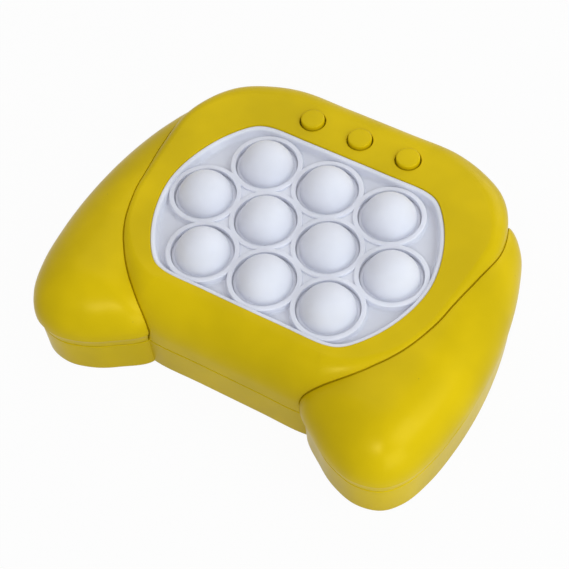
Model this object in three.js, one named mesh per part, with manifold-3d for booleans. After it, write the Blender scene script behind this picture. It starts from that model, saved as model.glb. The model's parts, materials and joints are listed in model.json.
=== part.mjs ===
// A hand-held electronic push game: a two-part case with two grips, a silicone panel of bubbles that are
// pushed when they light up, three small buttons behind it, and the board, speaker and batteries inside.
// Millimetres, +Z up, +X to the player's right, +Y away from the player. The underside lies on Z = 0.
import * as THREE from "three";
import { mergeVertices } from "three/addons/utils/BufferGeometryUtils.js";
import Module from "manifold-3d";

const wasm = await Module();
wasm.setup();

// Clearances
const fitGap = 0.3; // between two pieces that touch or run in each other
const overrun = 1; // how far a cutting solid passes the face that it cuts

// Bubbles, whose spacing drives the plan of the whole game
const bubblePitch = 23;
const rowStepShare = 0.87; // distance from row to row
const bubbleRowCounts = [3, 4, 3]; // from the front row to the back row
const bubbleRadiusShare = 0.38;
const bubbleRiseShare = 0.8; // above the tops of the rings, as a share of its radius
const bubbleGroove = 1.55; // between a bubble and its ring
const bubbleWall = 1.4;
const bubbleTravel = 4.5;
const bubbleFoot = 1.5; // height of the foot
const bubbleFootOverlap = 0.6; // how far the foot reaches under the ring
const bubbleSides = 16;
const domeSteps = 4;
const hollowSteps = 2;
const ringWidth = 1.7;
const rowStep = bubblePitch * rowStepShare;
const bubbleRadius = bubblePitch * bubbleRadiusShare;
const bubbleRise = bubbleRadius * bubbleRiseShare;
const ringBore = bubbleRadius + bubbleGroove;

// Opening for the panel, from its outermost rings
const openingSideMargin = 0.9;
const openingEndMargin = 1.2;
const ringOuter = ringBore + ringWidth;
const longRowHalf = ((Math.max(...bubbleRowCounts) - 1) * bubblePitch) / 2;
const openingHalfWidth = longRowHalf + ringOuter + openingSideMargin;
const openingHalfDepth = rowStep + ringOuter + openingEndMargin;
const openingOutlineShares = [
  [0.3, -1],
  [0.62, -0.99],
  [0.72, -0.93],
  [0.86, -0.68],
  [0.96, -0.35],
  [1, 0],
  [0.96, 0.35],
  [0.86, 0.68],
  [0.72, 0.93],
  [0.62, 0.99],
  [0.3, 1],
];
const openingSpanSteps = 2;

// Case
const caseHeight = 35.9; // underside to the flat top of the pod
const seamShare = 0.41; // height of the joint between the two shells, as a share of the case's height
const wall = 2;
const floorThickness = 2.6;
const draft = 0.4; // how far the lower wall leans in over its height
const undersideEdge = 1.4; // rounding where the lower wall meets the underside
const tongueHeight = 1.5;
const tongueWall = 1;
const seamHeight = caseHeight * seamShare;

// Pod, the middle of the case that holds the panel
const podSideRim = 12.6; // from the panel's opening to the pod's side
const podFrontRim = 14;
const podBackRim = 23.6;
const frontRun = 12.6; // how far the rounded front edge runs in
const frontFallShare = 0.448; // how far it falls, as a share of the case's height
const podHalfWidth = openingHalfWidth + podSideRim;
const podFrontReach = openingHalfDepth + podFrontRim; // from the middle of the panel to the front wall
const podBackReach = openingHalfDepth + podBackRim;
const frontFall = caseHeight * frontFallShare;
// Right half of the pod's outline from front to back: x as a share of the half width, y as a share of the
// reach on its side, and the edge's run and fall there as shares of the front edge's
const podOutlineShares = [
  [0.192, -1, 1, 1],
  [0.459, -1, 1, 1],
  [0.574, -0.966, 0.9, 0.95],
  [0.727, -0.81, 0.6, 0.68],
  [0.88, -0.537, 0.4, 0.42],
  [0.958, -0.244, 0.36, 0.34],
  [0.98, 0, 0.36, 0.34],
  [0.996, 0.223, 0.36, 0.34],
  [1, 0.466, 0.38, 0.36],
  [0.938, 0.68, 0.55, 0.41],
  [0.838, 0.836, 0.69, 0.52],
  [0.683, 0.938, 0.75, 0.58],
  [0.488, 0.996, 0.75, 0.58],
  [0.192, 1, 0.75, 0.58],
];

// Grips
const gripStandOut = 14.66; // from the pod's side to the widest line of a grip
const gripTipOverhang = 14.9; // from the pod's front wall to the tip
const gripBackSetback = 16.6; // from the pod's back wall to a grip's back end
const gripWidestShare = 0.538; // height of the widest line, as a share of the case's height
const gripTuck = 1.1; // how far a grip draws in from its widest line to the seam
const waistShares = { height: 0.4, tuck: 0.35 }; // a ring between the seam and the widest line
const gripCrestDrop = 0.5; // how much lower than the pod's top the crest is at the front
const gripCrestFallShare = 0.152; // how much further it falls to the back end, as a share of the height
const gripCrestInset = 5.4; // from the pod's side
const gripHalfWidth = podHalfWidth + gripStandOut;
const gripTipReach = podFrontReach + gripTipOverhang; // from the middle of the panel
const gripBackReach = podBackReach - gripBackSetback;
const gripWidestHeight = caseHeight * gripWidestShare;
const gripCrestHeight = caseHeight - gripCrestDrop;
const gripCrestFall = caseHeight * gripCrestFallShare;
const gripCrestX = podHalfWidth - gripCrestInset;
const gripSwell = 2.12; // power of the superellipse of a grip's section: 2 is an ellipse
const gripCrestSwell = 3.6; // power of the crest's fall towards the back
// Right grip's outline at its widest, anticlockwise from the tip: shares of the half width and of the reach
// on its side. The outer half comes first, and each of its rows faces one of the inner half.
const gripOutlineShares = [
  [0.725, -1],
  [0.843, -0.965],
  [0.918, -0.865],
  [0.967, -0.694],
  [0.993, -0.481],
  [1, -0.259],
  [0.988, -0.038],
  [0.956, 0.294],
  [0.909, 0.604],
  [0.848, 0.863],
  [0.764, 1],
  [0.672, 0.846],
  [0.611, 0.598],
  [0.571, 0.296],
  [0.521, -0.04],
  [0.461, -0.26],
  [0.401, -0.5],
  [0.369, -0.756],
  [0.498, -0.893],
  [0.599, -0.963],
];
const crestFrontShare = -0.685; // the crest's front end, as a share of the tip's reach
const crestBackShare = 0.87; // its back end, as a share of the back reach
const crestBendShare = -0.52; // where it starts to fall, as a share of the tip's reach

// How finely the case is cut: points from one outline row to the next, and rings over a rounded edge
const outsideDetail = { span: 2, rings: 5 };
const insideDetail = { span: 1, rings: 3 };

// Silicone panel
const lipDrop = 0.7; // its lip lies this far below the pod's top
const lipWidth = 2;
const ringDrop = 1.4; // the tops of its rings below the pod's top
const panelFloorDrop = 2.2; // its floor below the tops of the rings
const panelThickness = 1.5;
const panelFlange = 1.8; // how far it reaches under the case

// Buttons
const buttonPitch = 18;
const buttonSetback = 8.9; // from the panel's opening to the row of buttons
const buttonHole = 4.95; // radius
const buttonRadius = 4.15;
const buttonProud = 1.5;
const buttonEdge = 0.5;
const buttonFlange = 5.5; // radius
const buttonFlangeThickness = 1;
const buttonStem = 2; // radius
const buttonTravel = 1.2;
const collarWall = 1;
const buttonSides = 14;
const buttonBack = openingHalfDepth + buttonSetback;

// Rubber domes under the buttons
const rubberPressedHeight = 2; // with its button down
const rubberFoot = 4.5; // radius
const rubberTop = 2.2; // radius
const rubberWall = 0.9;
const rubberRim = 0.8; // height of its flat foot
const rubberSides = 12;

// Board
const boardThickness = 1.6;
const boardEndInset = 1.7; // how far inside the panel's opening its front edge lies
const boardButtonMargin = 14; // from the outer buttons to its narrow part's sides
const boardBackRoom = 7.8; // from its back edge to the pod's back wall
const boardCorner = 5;
const boardHalfWidth = openingHalfWidth;
const boardHalfDepth = openingHalfDepth - boardEndInset;
const boardBackHalfWidth = buttonPitch + boardButtonMargin;
const boardBack = podBackReach - boardBackRoom;
const boardScrewShares = [0.907, 0.815]; // of the opening's half width and half depth

// Frame that clamps the panel
const retainerThickness = 2.4;
const retainerWidth = 2.4;
const retainerLeg = 3; // radius
const retainerEar = 4.2; // radius

// Lamps and chip
const lampLength = 3.5;
const lampWidth = 2.8;
const lampHeight = 1.9;
const chipRadius = 5;
const chipHeight = 1.4;
const chipSetback = 12; // from the narrow part's side of the board

// Screws
const screwHead = 2.7; // radius
const screwHeadHeight = 1.2;
const screwShank = 1.3; // radius
const screwSides = 8;
const driverSlot = 0.8; // depth of the recess in a head
const driverRadius = 1.2;
const bossWall = 1.7;
const bossSides = 10;
const shellScrewShare = 0.39; // length, as a share of the case's height
const boardScrewLength = 10.5;
const screwPostHeight = 12;
const screwSeat = 9; // height of the shoulder in a post that a head pulls against
const shellScrewLength = caseHeight * shellScrewShare;
// Shell screws on the right: at a grip's tip, in its middle and in the pod's back corner, as shares of the
// grip's half width and tip reach, of the grip's half width and back reach, and of the pod's sizes
const tipScrewShares = [0.72, -0.7];
const middleScrewShares = [0.81, 0.16];
const cornerScrewShares = [0.767, 0.739];

// Batteries, size AAA, and the box that they lie in
const batteryCount = 3;
const batteryRadius = 5.25;
const batteryLength = 44.5;
const batteryNub = 1.9; // radius
const batteryNubLength = 1;
const batteryEdge = 0.4;
const batteryPitch = 11.3;
const boxFrontRoom = 14.5; // from the box to the pod's front wall
const batterySides = 14;
const springLength = 5.5;
const springWide = 3.4; // radius at the plate
const springNarrow = 2.2; // radius at the battery
const springWire = 0.35; // radius
const springTurns = 3.5;
const springSides = 5;
const springTurnSteps = 8; // pieces that a turn is drawn with
const plateThickness = 0.4;
const plateHeight = 6.8;
const plateLow = 4.7;
const plateHalfWidth = 4;
const tailHeight = 3.2; // how far a tail stands above its plate
const tailHalfWidth = 1;
const boxWall = 1.5;
const boxRoof = 1.2;

// Battery door
const doorThickness = 1.3;
const doorRecess = 0.2; // how far it lies above the underside, clear of what the game stands on
const doorLedge = 1.5; // how far the door reaches past the opening on each long side
const tabLength = 2;
const tabThickness = 0.9;
const tabHalfWidth = 1.5;
const tabRiser = 1.5;
const tabWindowHeight = 3;
const tongueLength = 13;
const tongueHalfWidth = 7;
const tongueThickness = 3;
const doorScrewInset = 5.5; // from the tongue's end
const doorScrewLength = 7.8;
const doorBossBore = 2.3; // radius, wide enough for the captive screw to swing out
const doorBossHeight = 11.5;
const doorPadRoof = 1.5;

// Loudspeaker
const speakerRadius = 14;
const speakerSetback = 6.8; // from the battery box to its collar
const speakerRim = 1.7; // height of the rim
const speakerRimWidth = 2;
const speakerDepth = 4.7;
const speakerBack = 8.5; // radius
const speakerSkin = 0.8;
const magnetRadius = 6.5;
const magnetHeight = 2.5;
const coneSkin = 0.4;
const coneDepth = 1;
const coneFlat = 4; // radius
const collarHeight = 3.9;
const speakerCollarWall = 1.2;
const speakerSides = 16;
const grilleHole = 1.2; // radius
const grillePitch = 3.6;
const grilleRings = 2;
const grilleSides = 6;

// Leads
const leadRadius = 0.6;
const leadSides = 6;
const leadSteps = 10;
const leadBow = 3; // how far a lead swings out of the straight line
const leadRiseShare = 0.2; // how much of its height each straight end takes
const leadReachX = 8; // from a battery contact to the lead's end on the board
const speakerLeadInset = 4; // from the loudspeaker's rim to where a lead starts
const speakerLeadReach = 6; // how far behind its start a lead ends on the board

// Levels worked out from the sizes above
const topUnderside = caseHeight - wall;
const ringTop = caseHeight - ringDrop;
const panelFloor = ringTop - panelFloorDrop;
const panelUnderside = panelFloor - panelThickness;
const flangeTop = topUnderside - fitGap;
const flangeUnderside = flangeTop - panelThickness;
const footTop = panelUnderside - fitGap;
const footUnderside = footTop - bubbleFoot;
const boardTop = footUnderside - bubbleTravel - fitGap;
const boardUnderside = boardTop - boardThickness;
const retainerTop = flangeUnderside - fitGap;
const retainerUnderside = retainerTop - retainerThickness;
const rubberBase = boardTop + fitGap;
const rubberHeight = rubberPressedHeight + buttonTravel;
const doorTop = doorRecess + doorThickness;
const doorSeat = doorTop + fitGap;
const batteryAxis = doorTop + fitGap + batteryRadius;
const boxCeiling = batteryAxis + batteryRadius + fitGap;
const boxTop = boxCeiling + boxRoof;
const boxHalfLength = (batteryLength + springLength + 2 * (plateThickness + fitGap) + 2 * fitGap) / 2;
const boxHalfWidth = ((batteryCount - 1) * batteryPitch) / 2 + batteryRadius + fitGap + fitGap;
const batteryCentreY = boxFrontRoom + boxWall + boxHalfWidth - podFrontReach;
const collarInner = speakerRadius + fitGap;
const collarOuter = collarInner + speakerCollarWall;
const speakerY = batteryCentreY + boxHalfWidth + boxWall + speakerSetback + collarOuter;
const chipX = boardBackHalfWidth - chipSetback;
const doorHoleHalfLength = boxHalfLength - plateThickness - fitGap;
const doorHalfWidth = boxHalfWidth - fitGap + doorLedge;
const plateFace = doorHoleHalfLength; // distance of a contact plate's inner face from the middle

// A finish for each kind of piece
const finish = (color, roughness, metalness = 0) => ({ color, roughness, metalness });
const yellowPlastic = finish(0xcfae06, 0.42);
const whiteSilicone = finish(0xdcdfec, 0.55);
const softRubber = finish(0xd8d4cc, 0.7);
const blackPlastic = finish(0x26262a, 0.5);
const naturalPlastic = finish(0xe6e4de, 0.5);
const boardGreen = finish(0x1f6b3a, 0.45);
const steel = finish(0xb9bcc2, 0.3, 1);
const lampWhite = finish(0xf3efd8, 0.35);
const redWire = finish(0xb3191c, 0.45);
const blackWire = finish(0x1b1b1d, 0.45);
const conePaper = finish(0x33333a, 0.6);
const batteryJacket = finish(0x2d5c9e, 0.35);

// Solids: three.js geometry turned into closed bodies that can be joined and cut
function solid(geometry) {
  const bare = geometry.clone();
  bare.deleteAttribute("normal");
  bare.deleteAttribute("uv");
  const merged = mergeVertices(bare);
  const position = merged.attributes.position.array;
  const triangles = [];
  let volume = 0;
  const corner = (index) => new THREE.Vector3().fromArray(position, 3 * index);
  for (let i = 0; i < merged.index.count; i += 3) {
    const [a, b, c] = [0, 1, 2].map((k) => merged.index.getX(i + k));
    if (a !== b && b !== c && c !== a) {
      triangles.push(a, b, c);
      volume += corner(a).dot(corner(b).cross(corner(c)));
    }
  }
  if (volume < 0) triangles.reverse();
  return new wasm.Manifold(
    new wasm.Mesh({ numProp: 3, vertProperties: position, triVerts: new Uint32Array(triangles) }),
  );
}

const joined = (solids) => solids.reduce((whole, next) => whole.add(next));
const cut = (body, cutters) => cutters.reduce((whole, next) => whole.subtract(next), body);

// A box between two corners
function block(low, high) {
  const size = high.map((value, axis) => value - low[axis]);
  const geometry = new THREE.BoxGeometry(...size);
  geometry.translate(...low.map((value, axis) => value + size[axis] / 2));
  return solid(geometry);
}

// A profile of [radius, height] points turned about an upright axis through (x, y)
function turned(profile, sides, x = 0, y = 0) {
  const points = profile.map(([radius, height]) => new THREE.Vector2(radius, height));
  const geometry = new THREE.LatheGeometry(points, sides);
  geometry.rotateX(Math.PI / 2);
  geometry.translate(x, y, 0);
  return solid(geometry);
}

function rod(radius, low, high, sides, x = 0, y = 0) {
  return turned([[0, low], [radius, low], [radius, high], [0, high]], sides, x, y);
}

// A straight wall over a closed outline
function prism(ring, low, high) {
  const geometry = new THREE.ExtrudeGeometry(new THREE.Shape(ring), {
    depth: high - low,
    bevelEnabled: false,
  });
  geometry.translate(0, 0, low);
  return solid(geometry);
}

// A tube along a curve
function wire(curve, radius, sides, steps) {
  const section = new THREE.Shape(new THREE.EllipseCurve(0, 0, radius, radius).getPoints(sides).slice(1));
  return solid(new THREE.ExtrudeGeometry(section, { steps, bevelEnabled: false, extrudePath: curve }));
}

// A closed body through rings of points, from the lowest ring to the highest. It gets no cap on top if the
// two sides of its last ring meet.
function loft(rings, capped = true) {
  const count = rings[0].length;
  const flat = (ring) => ring.map((point) => new THREE.Vector2(point.x, point.y));
  const index = [];
  for (const [a, b, c] of THREE.ShapeUtils.triangulateShape(flat(rings[0]), [])) index.push(c, b, a);
  for (let level = 0; level + 1 < rings.length; level++) {
    for (let i = 0; i < count; i++) {
      const [a, b] = [level * count + i, level * count + ((i + 1) % count)];
      index.push(a, b, b + count, a, b + count, a + count);
    }
  }
  const last = (rings.length - 1) * count;
  for (const [a, b, c] of capped ? THREE.ShapeUtils.triangulateShape(flat(rings.at(-1)), []) : []) {
    index.push(last + a, last + b, last + c);
  }
  const geometry = new THREE.BufferGeometry().setFromPoints(rings.flat());
  geometry.setIndex(index);
  return solid(geometry);
}

// Outlines
function sampled(points, spanSteps) {
  const curve = new THREE.CatmullRomCurve3(points, true, "centripetal");
  const count = points.length * spanSteps;
  return Array.from({ length: count }, (_, i) => curve.getPoint(i / count));
}

// Each point of an anticlockwise outline moved in by a distance, or by its own distance from a list
function inset(ring, distance) {
  return ring.map((point, i) => {
    const along = ring[(i + 1) % ring.length].clone().sub(ring.at(i - 1)).normalize();
    const by = Array.isArray(distance) ? distance[i] : distance;
    return new THREE.Vector3(point.x - along.y * by, point.y + along.x * by, 0);
  });
}

const atHeight = (ring, height) => ring.map((point) => new THREE.Vector3(point.x, point.y, height));

// Both halves of a table whose rows give the right half from front to back
const bothHalves = (rows) => [...rows, ...rows.toReversed().map(([x, ...rest]) => [-x, ...rest])];

const podRows = bothHalves(podOutlineShares);
const podPoints = podRows.map(([x, y]) => {
  return new THREE.Vector3(x * podHalfWidth, y * (y < 0 ? podFrontReach : podBackReach), 0);
});
const gripPoints = gripOutlineShares.map(([x, y]) => {
  return new THREE.Vector3(x * gripHalfWidth, y * (y < 0 ? gripTipReach : gripBackReach), 0);
});
const openingOutline = sampled(
  bothHalves(openingOutlineShares).map(([x, y]) => {
    return new THREE.Vector3(x * openingHalfWidth, y * openingHalfDepth, 0);
  }),
  openingSpanSteps,
);

// One column of the pod's table, read along its outline at so many points a row
function alongPod(column, span) {
  return Array.from({ length: podRows.length * span }, (_, i) => {
    const row = Math.floor(i / span);
    const share = (i % span) / span;
    return podRows[row][column] * (1 - share) + podRows[(row + 1) % podRows.length][column] * share;
  });
}

const mirroredRing = (ring) => ring.map((point) => new THREE.Vector3(-point.x, point.y, point.z)).reverse();

// The case's outer form (skin 0), or the same form a skin's thickness further in, from a low level up to
// the top. The pod's edge is a quarter ellipse, and a grip swells over a crest line.
function podForm(skin, low, detail) {
  const outline = sampled(podPoints, detail.span);
  const run = alongPod(2, detail.span).map((share) => share * frontRun);
  const fall = alongPod(3, detail.span).map((share) => share * frontFall);
  const rings = [atHeight(inset(outline, skin), low)];
  for (let step = 0; step <= detail.rings; step++) {
    const angle = ((Math.PI / 2) * step) / detail.rings;
    const ring = inset(outline, run.map((value) => skin + (value - skin) * (1 - Math.cos(angle))));
    ring.forEach((point, i) => {
      point.z = caseHeight - skin - (fall[i] - skin) * (1 - Math.sin(angle));
    });
    rings.push(ring);
  }
  return loft(rings);
}

function gripRings(skin, low, detail) {
  const outline = sampled(gripPoints, detail.span);
  const widest = inset(outline, skin);
  const front = crestFrontShare * gripTipReach;
  const back = crestBackShare * gripBackReach;
  const bend = crestBendShare * gripTipReach;
  const tucked = inset(outline, skin + gripTuck);
  const waist = inset(outline, skin + gripTuck * waistShares.tuck);
  const waistHeight = seamHeight + (gripWidestHeight - seamHeight) * waistShares.height;
  const rings = [atHeight(tucked, low), atHeight(tucked, seamHeight), atHeight(waist, waistHeight)];
  for (let step = 0; step <= detail.rings; step++) {
    const angle = ((Math.PI / 2) * step) / detail.rings;
    const share = 1 - Math.cos(angle);
    const swell = (1 - (1 - share) ** gripSwell) ** (1 / gripSwell);
    rings.push(
      widest.map((point, i) => {
        const crestY = THREE.MathUtils.clamp((point.y + widest.at(-i).y) / 2, front, back);
        const fallShare = Math.max(0, (crestY - bend) / (back - bend)) ** gripCrestSwell;
        const crestZ = gripCrestHeight - skin - gripCrestFall * fallShare;
        return new THREE.Vector3(
          point.x + (gripCrestX - point.x) * share,
          point.y + (crestY - point.y) * share,
          gripWidestHeight + (crestZ - gripWidestHeight) * swell,
        );
      }),
    );
  }
  return rings;
}

function upperForm(skin, low, detail) {
  const rings = gripRings(skin, low, detail);
  return joined([podForm(skin, low, detail), loft(rings, false), loft(rings.map(mirroredRing), false)]);
}

// The case's plan below the seam as a straight or leaning wall: levels of [height, inset]
function lowerForm(levels, detail) {
  const rings = (points, extra) => {
    const outline = sampled(points, detail.span);
    return levels.map(([height, distance]) => atHeight(inset(outline, distance + extra), height));
  };
  const grip = rings(gripPoints, gripTuck);
  return joined([loft(rings(podPoints, 0)), loft(grip), loft(grip.map(mirroredRing))]);
}

// Places
const bubblePlaces = bubbleRowCounts.flatMap((count, row) => {
  const y = (row - (bubbleRowCounts.length - 1) / 2) * rowStep;
  return Array.from({ length: count }, (_, i) => [(i - (count - 1) / 2) * bubblePitch, y]);
});
const buttonPlaces = [-1, 0, 1].map((step) => [step * buttonPitch, buttonBack]);
const bothSides = ([x, y]) => [[-x, y], [x, y]];
const shellScrewPlaces = [
  ...bothSides([tipScrewShares[0] * gripHalfWidth, tipScrewShares[1] * gripTipReach]),
  ...bothSides([middleScrewShares[0] * gripHalfWidth, middleScrewShares[1] * gripBackReach]),
  ...bothSides([cornerScrewShares[0] * podHalfWidth, cornerScrewShares[1] * podBackReach]),
];
const boardScrewX = boardScrewShares[0] * openingHalfWidth;
const boardScrewY = boardScrewShares[1] * openingHalfDepth;
const boardScrewPlaces = [-1, 1].flatMap((end) => bothSides([boardScrewX, end * boardScrewY]));
const batteryRows = Array.from({ length: batteryCount }, (_, i) => {
  return batteryCentreY + (i - (batteryCount - 1) / 2) * batteryPitch;
});
const doorScrewX = doorHoleHalfLength - fitGap + tongueLength - doorScrewInset;
const tabPlaces = [-1, 1].map((side) => batteryCentreY + (side * batteryPitch) / 2);

// Assembly
const assembly = new THREE.Group();

function addPiece(name, body, look) {
  const made = body.getMesh();
  const geometry = new THREE.BufferGeometry();
  geometry.setAttribute("position", new THREE.Float32BufferAttribute(made.vertProperties, 3));
  geometry.setIndex(new THREE.Uint32BufferAttribute(made.triVerts, 1));
  geometry.computeVertexNormals();
  const piece = new THREE.Mesh(geometry, new THREE.MeshStandardMaterial(look));
  piece.name = name;
  assembly.add(piece);
  return piece;
}

// Upper shell: the pod and grips as one skin, with the panel's opening, the button holes in their collars,
// and bosses for the screws
function upperShell() {
  const outer = upperForm(0, seamHeight + fitGap / 2, outsideDetail);
  const hollow = upperForm(wall, seamHeight - overrun, insideDetail);
  const rebateInset = wall - tongueWall - fitGap;
  const rebateTop = seamHeight + tongueHeight + fitGap;
  const rebate = lowerForm([[seamHeight - overrun, rebateInset], [rebateTop, rebateInset]], outsideDetail);
  const bore = screwShank + fitGap;
  const shellBosses = shellScrewPlaces.map(([x, y]) => {
    return rod(bore + bossWall, screwPostHeight + fitGap, caseHeight, bossSides, x, y);
  });
  const boardBosses = boardScrewPlaces.map(([x, y]) => {
    return rod(retainerLeg, retainerTop + fitGap, caseHeight, bossSides, x, y);
  });
  const collars = buttonPlaces.map(([x, y]) => {
    const inner = buttonFlange + fitGap;
    return rod(inner + collarWall, retainerTop + fitGap, caseHeight - wall / 2, buttonSides, x, y);
  });
  const whole = upperForm(0, 0, outsideDetail);
  const posts = joined([...shellBosses, ...boardBosses, ...collars]).intersect(whole);
  const cutters = [
    prism(openingOutline, panelUnderside - overrun, caseHeight + overrun),
    ...buttonPlaces.map(([x, y]) => rod(buttonHole, 0, caseHeight + overrun, buttonSides, x, y)),
    ...buttonPlaces.map(([x, y]) => rod(buttonFlange + fitGap, 0, topUnderside, buttonSides, x, y)),
    ...shellScrewPlaces.map(([x, y]) => {
      const end = screwSeat - fitGap + shellScrewLength + fitGap;
      return rod(bore, 0, end, screwSides, x, y);
    }),
    ...boardScrewPlaces.map(([x, y]) => {
      return rod(bore, 0, boardUnderside - fitGap + boardScrewLength + fitGap, screwSides, x, y);
    }),
  ];
  return cut(outer.subtract(hollow).subtract(rebate).add(posts), cutters);
}

// Holes of the loudspeaker's grille: one in the middle and rings of six more each time
function grilleHoles() {
  const places = [[0, speakerY]];
  for (let ring = 1; ring <= grilleRings; ring++) {
    for (let i = 0; i < 6 * ring; i++) {
      const angle = (Math.PI * 2 * i) / (6 * ring);
      const radius = ring * grillePitch;
      places.push([radius * Math.cos(angle), speakerY + radius * Math.sin(angle)]);
    }
  }
  return places.map(([x, y]) => rod(grilleHole, -overrun, floorThickness + overrun, grilleSides, x, y));
}

// Lower shell: floor, wall and tongue, screw posts, the battery box with the door's seat, and the
// loudspeaker's collar over its grille
function lowerShell() {
  const rimTop = seamHeight - fitGap / 2;
  const edgeShare = 1 - Math.SQRT1_2;
  const outerLevels = [
    [0, draft + undersideEdge],
    [undersideEdge * edgeShare, draft + undersideEdge * edgeShare],
    [undersideEdge, draft],
    [rimTop, 0],
  ];
  const outer = lowerForm(outerLevels, outsideDetail);
  const tongueInset = wall - tongueWall;
  const tongueTop = seamHeight + tongueHeight;
  const tongue = lowerForm([[seamHeight - wall, tongueInset], [tongueTop, tongueInset]], outsideDetail);
  const hollowLevels = [[floorThickness, wall + draft], [rimTop, wall], [tongueTop + overrun, wall]];
  const hollow = lowerForm(hollowLevels, insideDetail);
  const postRadius = screwHead + fitGap + bossWall;
  const posts = shellScrewPlaces.map(([x, y]) => {
    return rod(postRadius, floorThickness / 2, screwPostHeight, bossSides, x, y);
  });
  const low = [-boxHalfLength - boxWall, batteryCentreY - boxHalfWidth - boxWall, floorThickness / 2];
  const box = block(low, [boxHalfLength + boxWall, batteryCentreY + boxHalfWidth + boxWall, boxTop]);
  const tongueSlotTop = doorRecess + tongueThickness + fitGap;
  const padEnd = doorHoleHalfLength + tongueLength + boxWall;
  const padHalf = tongueHalfWidth + fitGap + boxWall;
  const pad = block(
    [boxHalfLength, batteryCentreY - padHalf, floorThickness / 2],
    [padEnd, batteryCentreY + padHalf, tongueSlotTop + doorPadRoof],
  );
  const bossRadius = doorBossBore + bossWall;
  const boss = rod(bossRadius, tongueSlotTop, doorBossHeight, bossSides, doorScrewX, batteryCentreY);
  const collarTop = floorThickness + collarHeight;
  const collar = rod(collarOuter, floorThickness / 2, collarTop, speakerSides, 0, speakerY);
  const additions = joined([...posts, box, pad, boss, collar]);
  const cutters = [
    rod(collarInner, floorThickness, caseHeight, speakerSides, 0, speakerY),
    ...grilleHoles(),
    ...shellScrewPlaces.map(([x, y]) => {
      return rod(screwHead + fitGap, -overrun, screwSeat, bossSides, x, y);
    }),
    ...shellScrewPlaces.map(([x, y]) => rod(screwShank + fitGap, 0, caseHeight, screwSides, x, y)),
    // Room for the batteries and their contacts
    block(
      [-boxHalfLength, batteryCentreY - boxHalfWidth, floorThickness],
      [boxHalfLength, batteryCentreY + boxHalfWidth, boxCeiling],
    ),
    // The way in from below, and the seat that the door lies in
    block(
      [-doorHoleHalfLength, batteryCentreY - boxHalfWidth + fitGap, -overrun],
      [doorHoleHalfLength, batteryCentreY + boxHalfWidth - fitGap, floorThickness + overrun],
    ),
    block(
      [-doorHoleHalfLength, batteryCentreY - doorHalfWidth - fitGap, -overrun],
      [doorHoleHalfLength, batteryCentreY + doorHalfWidth + fitGap, doorSeat],
    ),
    block(
      [0, batteryCentreY - tongueHalfWidth - fitGap, -overrun],
      [doorHoleHalfLength + tongueLength, batteryCentreY + tongueHalfWidth + fitGap, tongueSlotTop],
    ),
    rod(doorBossBore, 0, doorBossHeight - doorPadRoof, screwSides, doorScrewX, batteryCentreY),
    // Windows for the door's tabs, and slots for the tails of the two outer contacts
    ...tabPlaces.map((y) => {
      return block(
        [-boxHalfLength - boxWall - overrun, y - tabHalfWidth - fitGap, floorThickness],
        [-boxHalfLength + overrun, y + tabHalfWidth + fitGap, floorThickness + tabWindowHeight],
      );
    }),
    ...[[1, batteryRows[0]], [-1, batteryRows.at(-1)]].map(([side, y]) => {
      const near = side * (plateFace - fitGap);
      const far = side * boxHalfLength;
      return block(
        [Math.min(near, far), y - tailHalfWidth - fitGap, boxCeiling - overrun],
        [Math.max(near, far), y + tailHalfWidth + fitGap, boxTop + overrun],
      );
    }),
  ];
  return cut(outer.add(tongue).subtract(hollow).add(additions), cutters);
}

// Silicone panel: a lip, a sunk floor and a raised ring round each bubble, with a flange under the case
function bubblePanel() {
  const slab = prism(inset(openingOutline, fitGap), panelUnderside, caseHeight - lipDrop);
  const sunk = prism(inset(openingOutline, fitGap + lipWidth), panelFloor, caseHeight + overrun);
  const flange = prism(inset(openingOutline, -panelFlange), flangeUnderside, flangeTop);
  const crown = ringWidth / 2;
  const rings = bubblePlaces.map(([x, y]) => {
    const profile = [
      [0, panelUnderside],
      [ringOuter, panelUnderside],
      [ringOuter, ringTop - crown / 2],
      [ringOuter - crown / 2, ringTop],
      [0, ringTop],
    ];
    return turned(profile, bubbleSides, x, y);
  });
  const bores = bubblePlaces.map(([x, y]) => rod(ringBore, 0, caseHeight + overrun, bubbleSides, x, y));
  const bosses = boardScrewPlaces.map(([x, y]) => {
    return rod(retainerLeg + fitGap, 0, caseHeight, bossSides, x, y);
  });
  const ringsInside = joined(rings).intersect(prism(inset(openingOutline, fitGap), 0, caseHeight));
  return cut(slab.subtract(sunk).add(flange).add(ringsInside), [...bores, ...bosses]);
}

// Bubble: a hollow dome on a short skirt with a foot that stays under the panel's ring
function bubble([x, y]) {
  const centre = ringTop + bubbleRise - bubbleRadius;
  const inner = bubbleRadius - bubbleWall;
  const foot = ringBore + bubbleFootOverlap;
  const arc = (radius, steps) => {
    return Array.from({ length: steps + 1 }, (_, i) => {
      const angle = ((Math.PI / 2) * i) / steps;
      return [i < steps ? radius * Math.cos(angle) : 0, centre + radius * Math.sin(angle)];
    });
  };
  const outside = arc(bubbleRadius, domeSteps).reverse();
  const skirt = [[bubbleRadius, footTop], [foot, footTop], [foot, footUnderside], [inner, footUnderside]];
  return turned([...outside, ...skirt, ...arc(inner, hollowSteps)], bubbleSides, x, y);
}

// Push button: a low cap, a flange that stops under the case and a stem down to its rubber dome
function pushButton([x, y]) {
  const top = caseHeight + buttonProud;
  const flangeHigh = topUnderside - fitGap;
  const flangeLow = flangeHigh - buttonFlangeThickness;
  const stemEnd = rubberBase + rubberHeight + fitGap;
  const profile = [
    [0, top],
    [buttonRadius - buttonEdge, top],
    [buttonRadius, top - buttonEdge],
    [buttonRadius, flangeHigh],
    [buttonFlange, flangeHigh],
    [buttonFlange, flangeLow],
    [buttonStem, flangeLow],
    [buttonStem, stemEnd],
    [0, stemEnd],
  ];
  return turned(profile, buttonSides, x, y);
}

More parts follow.
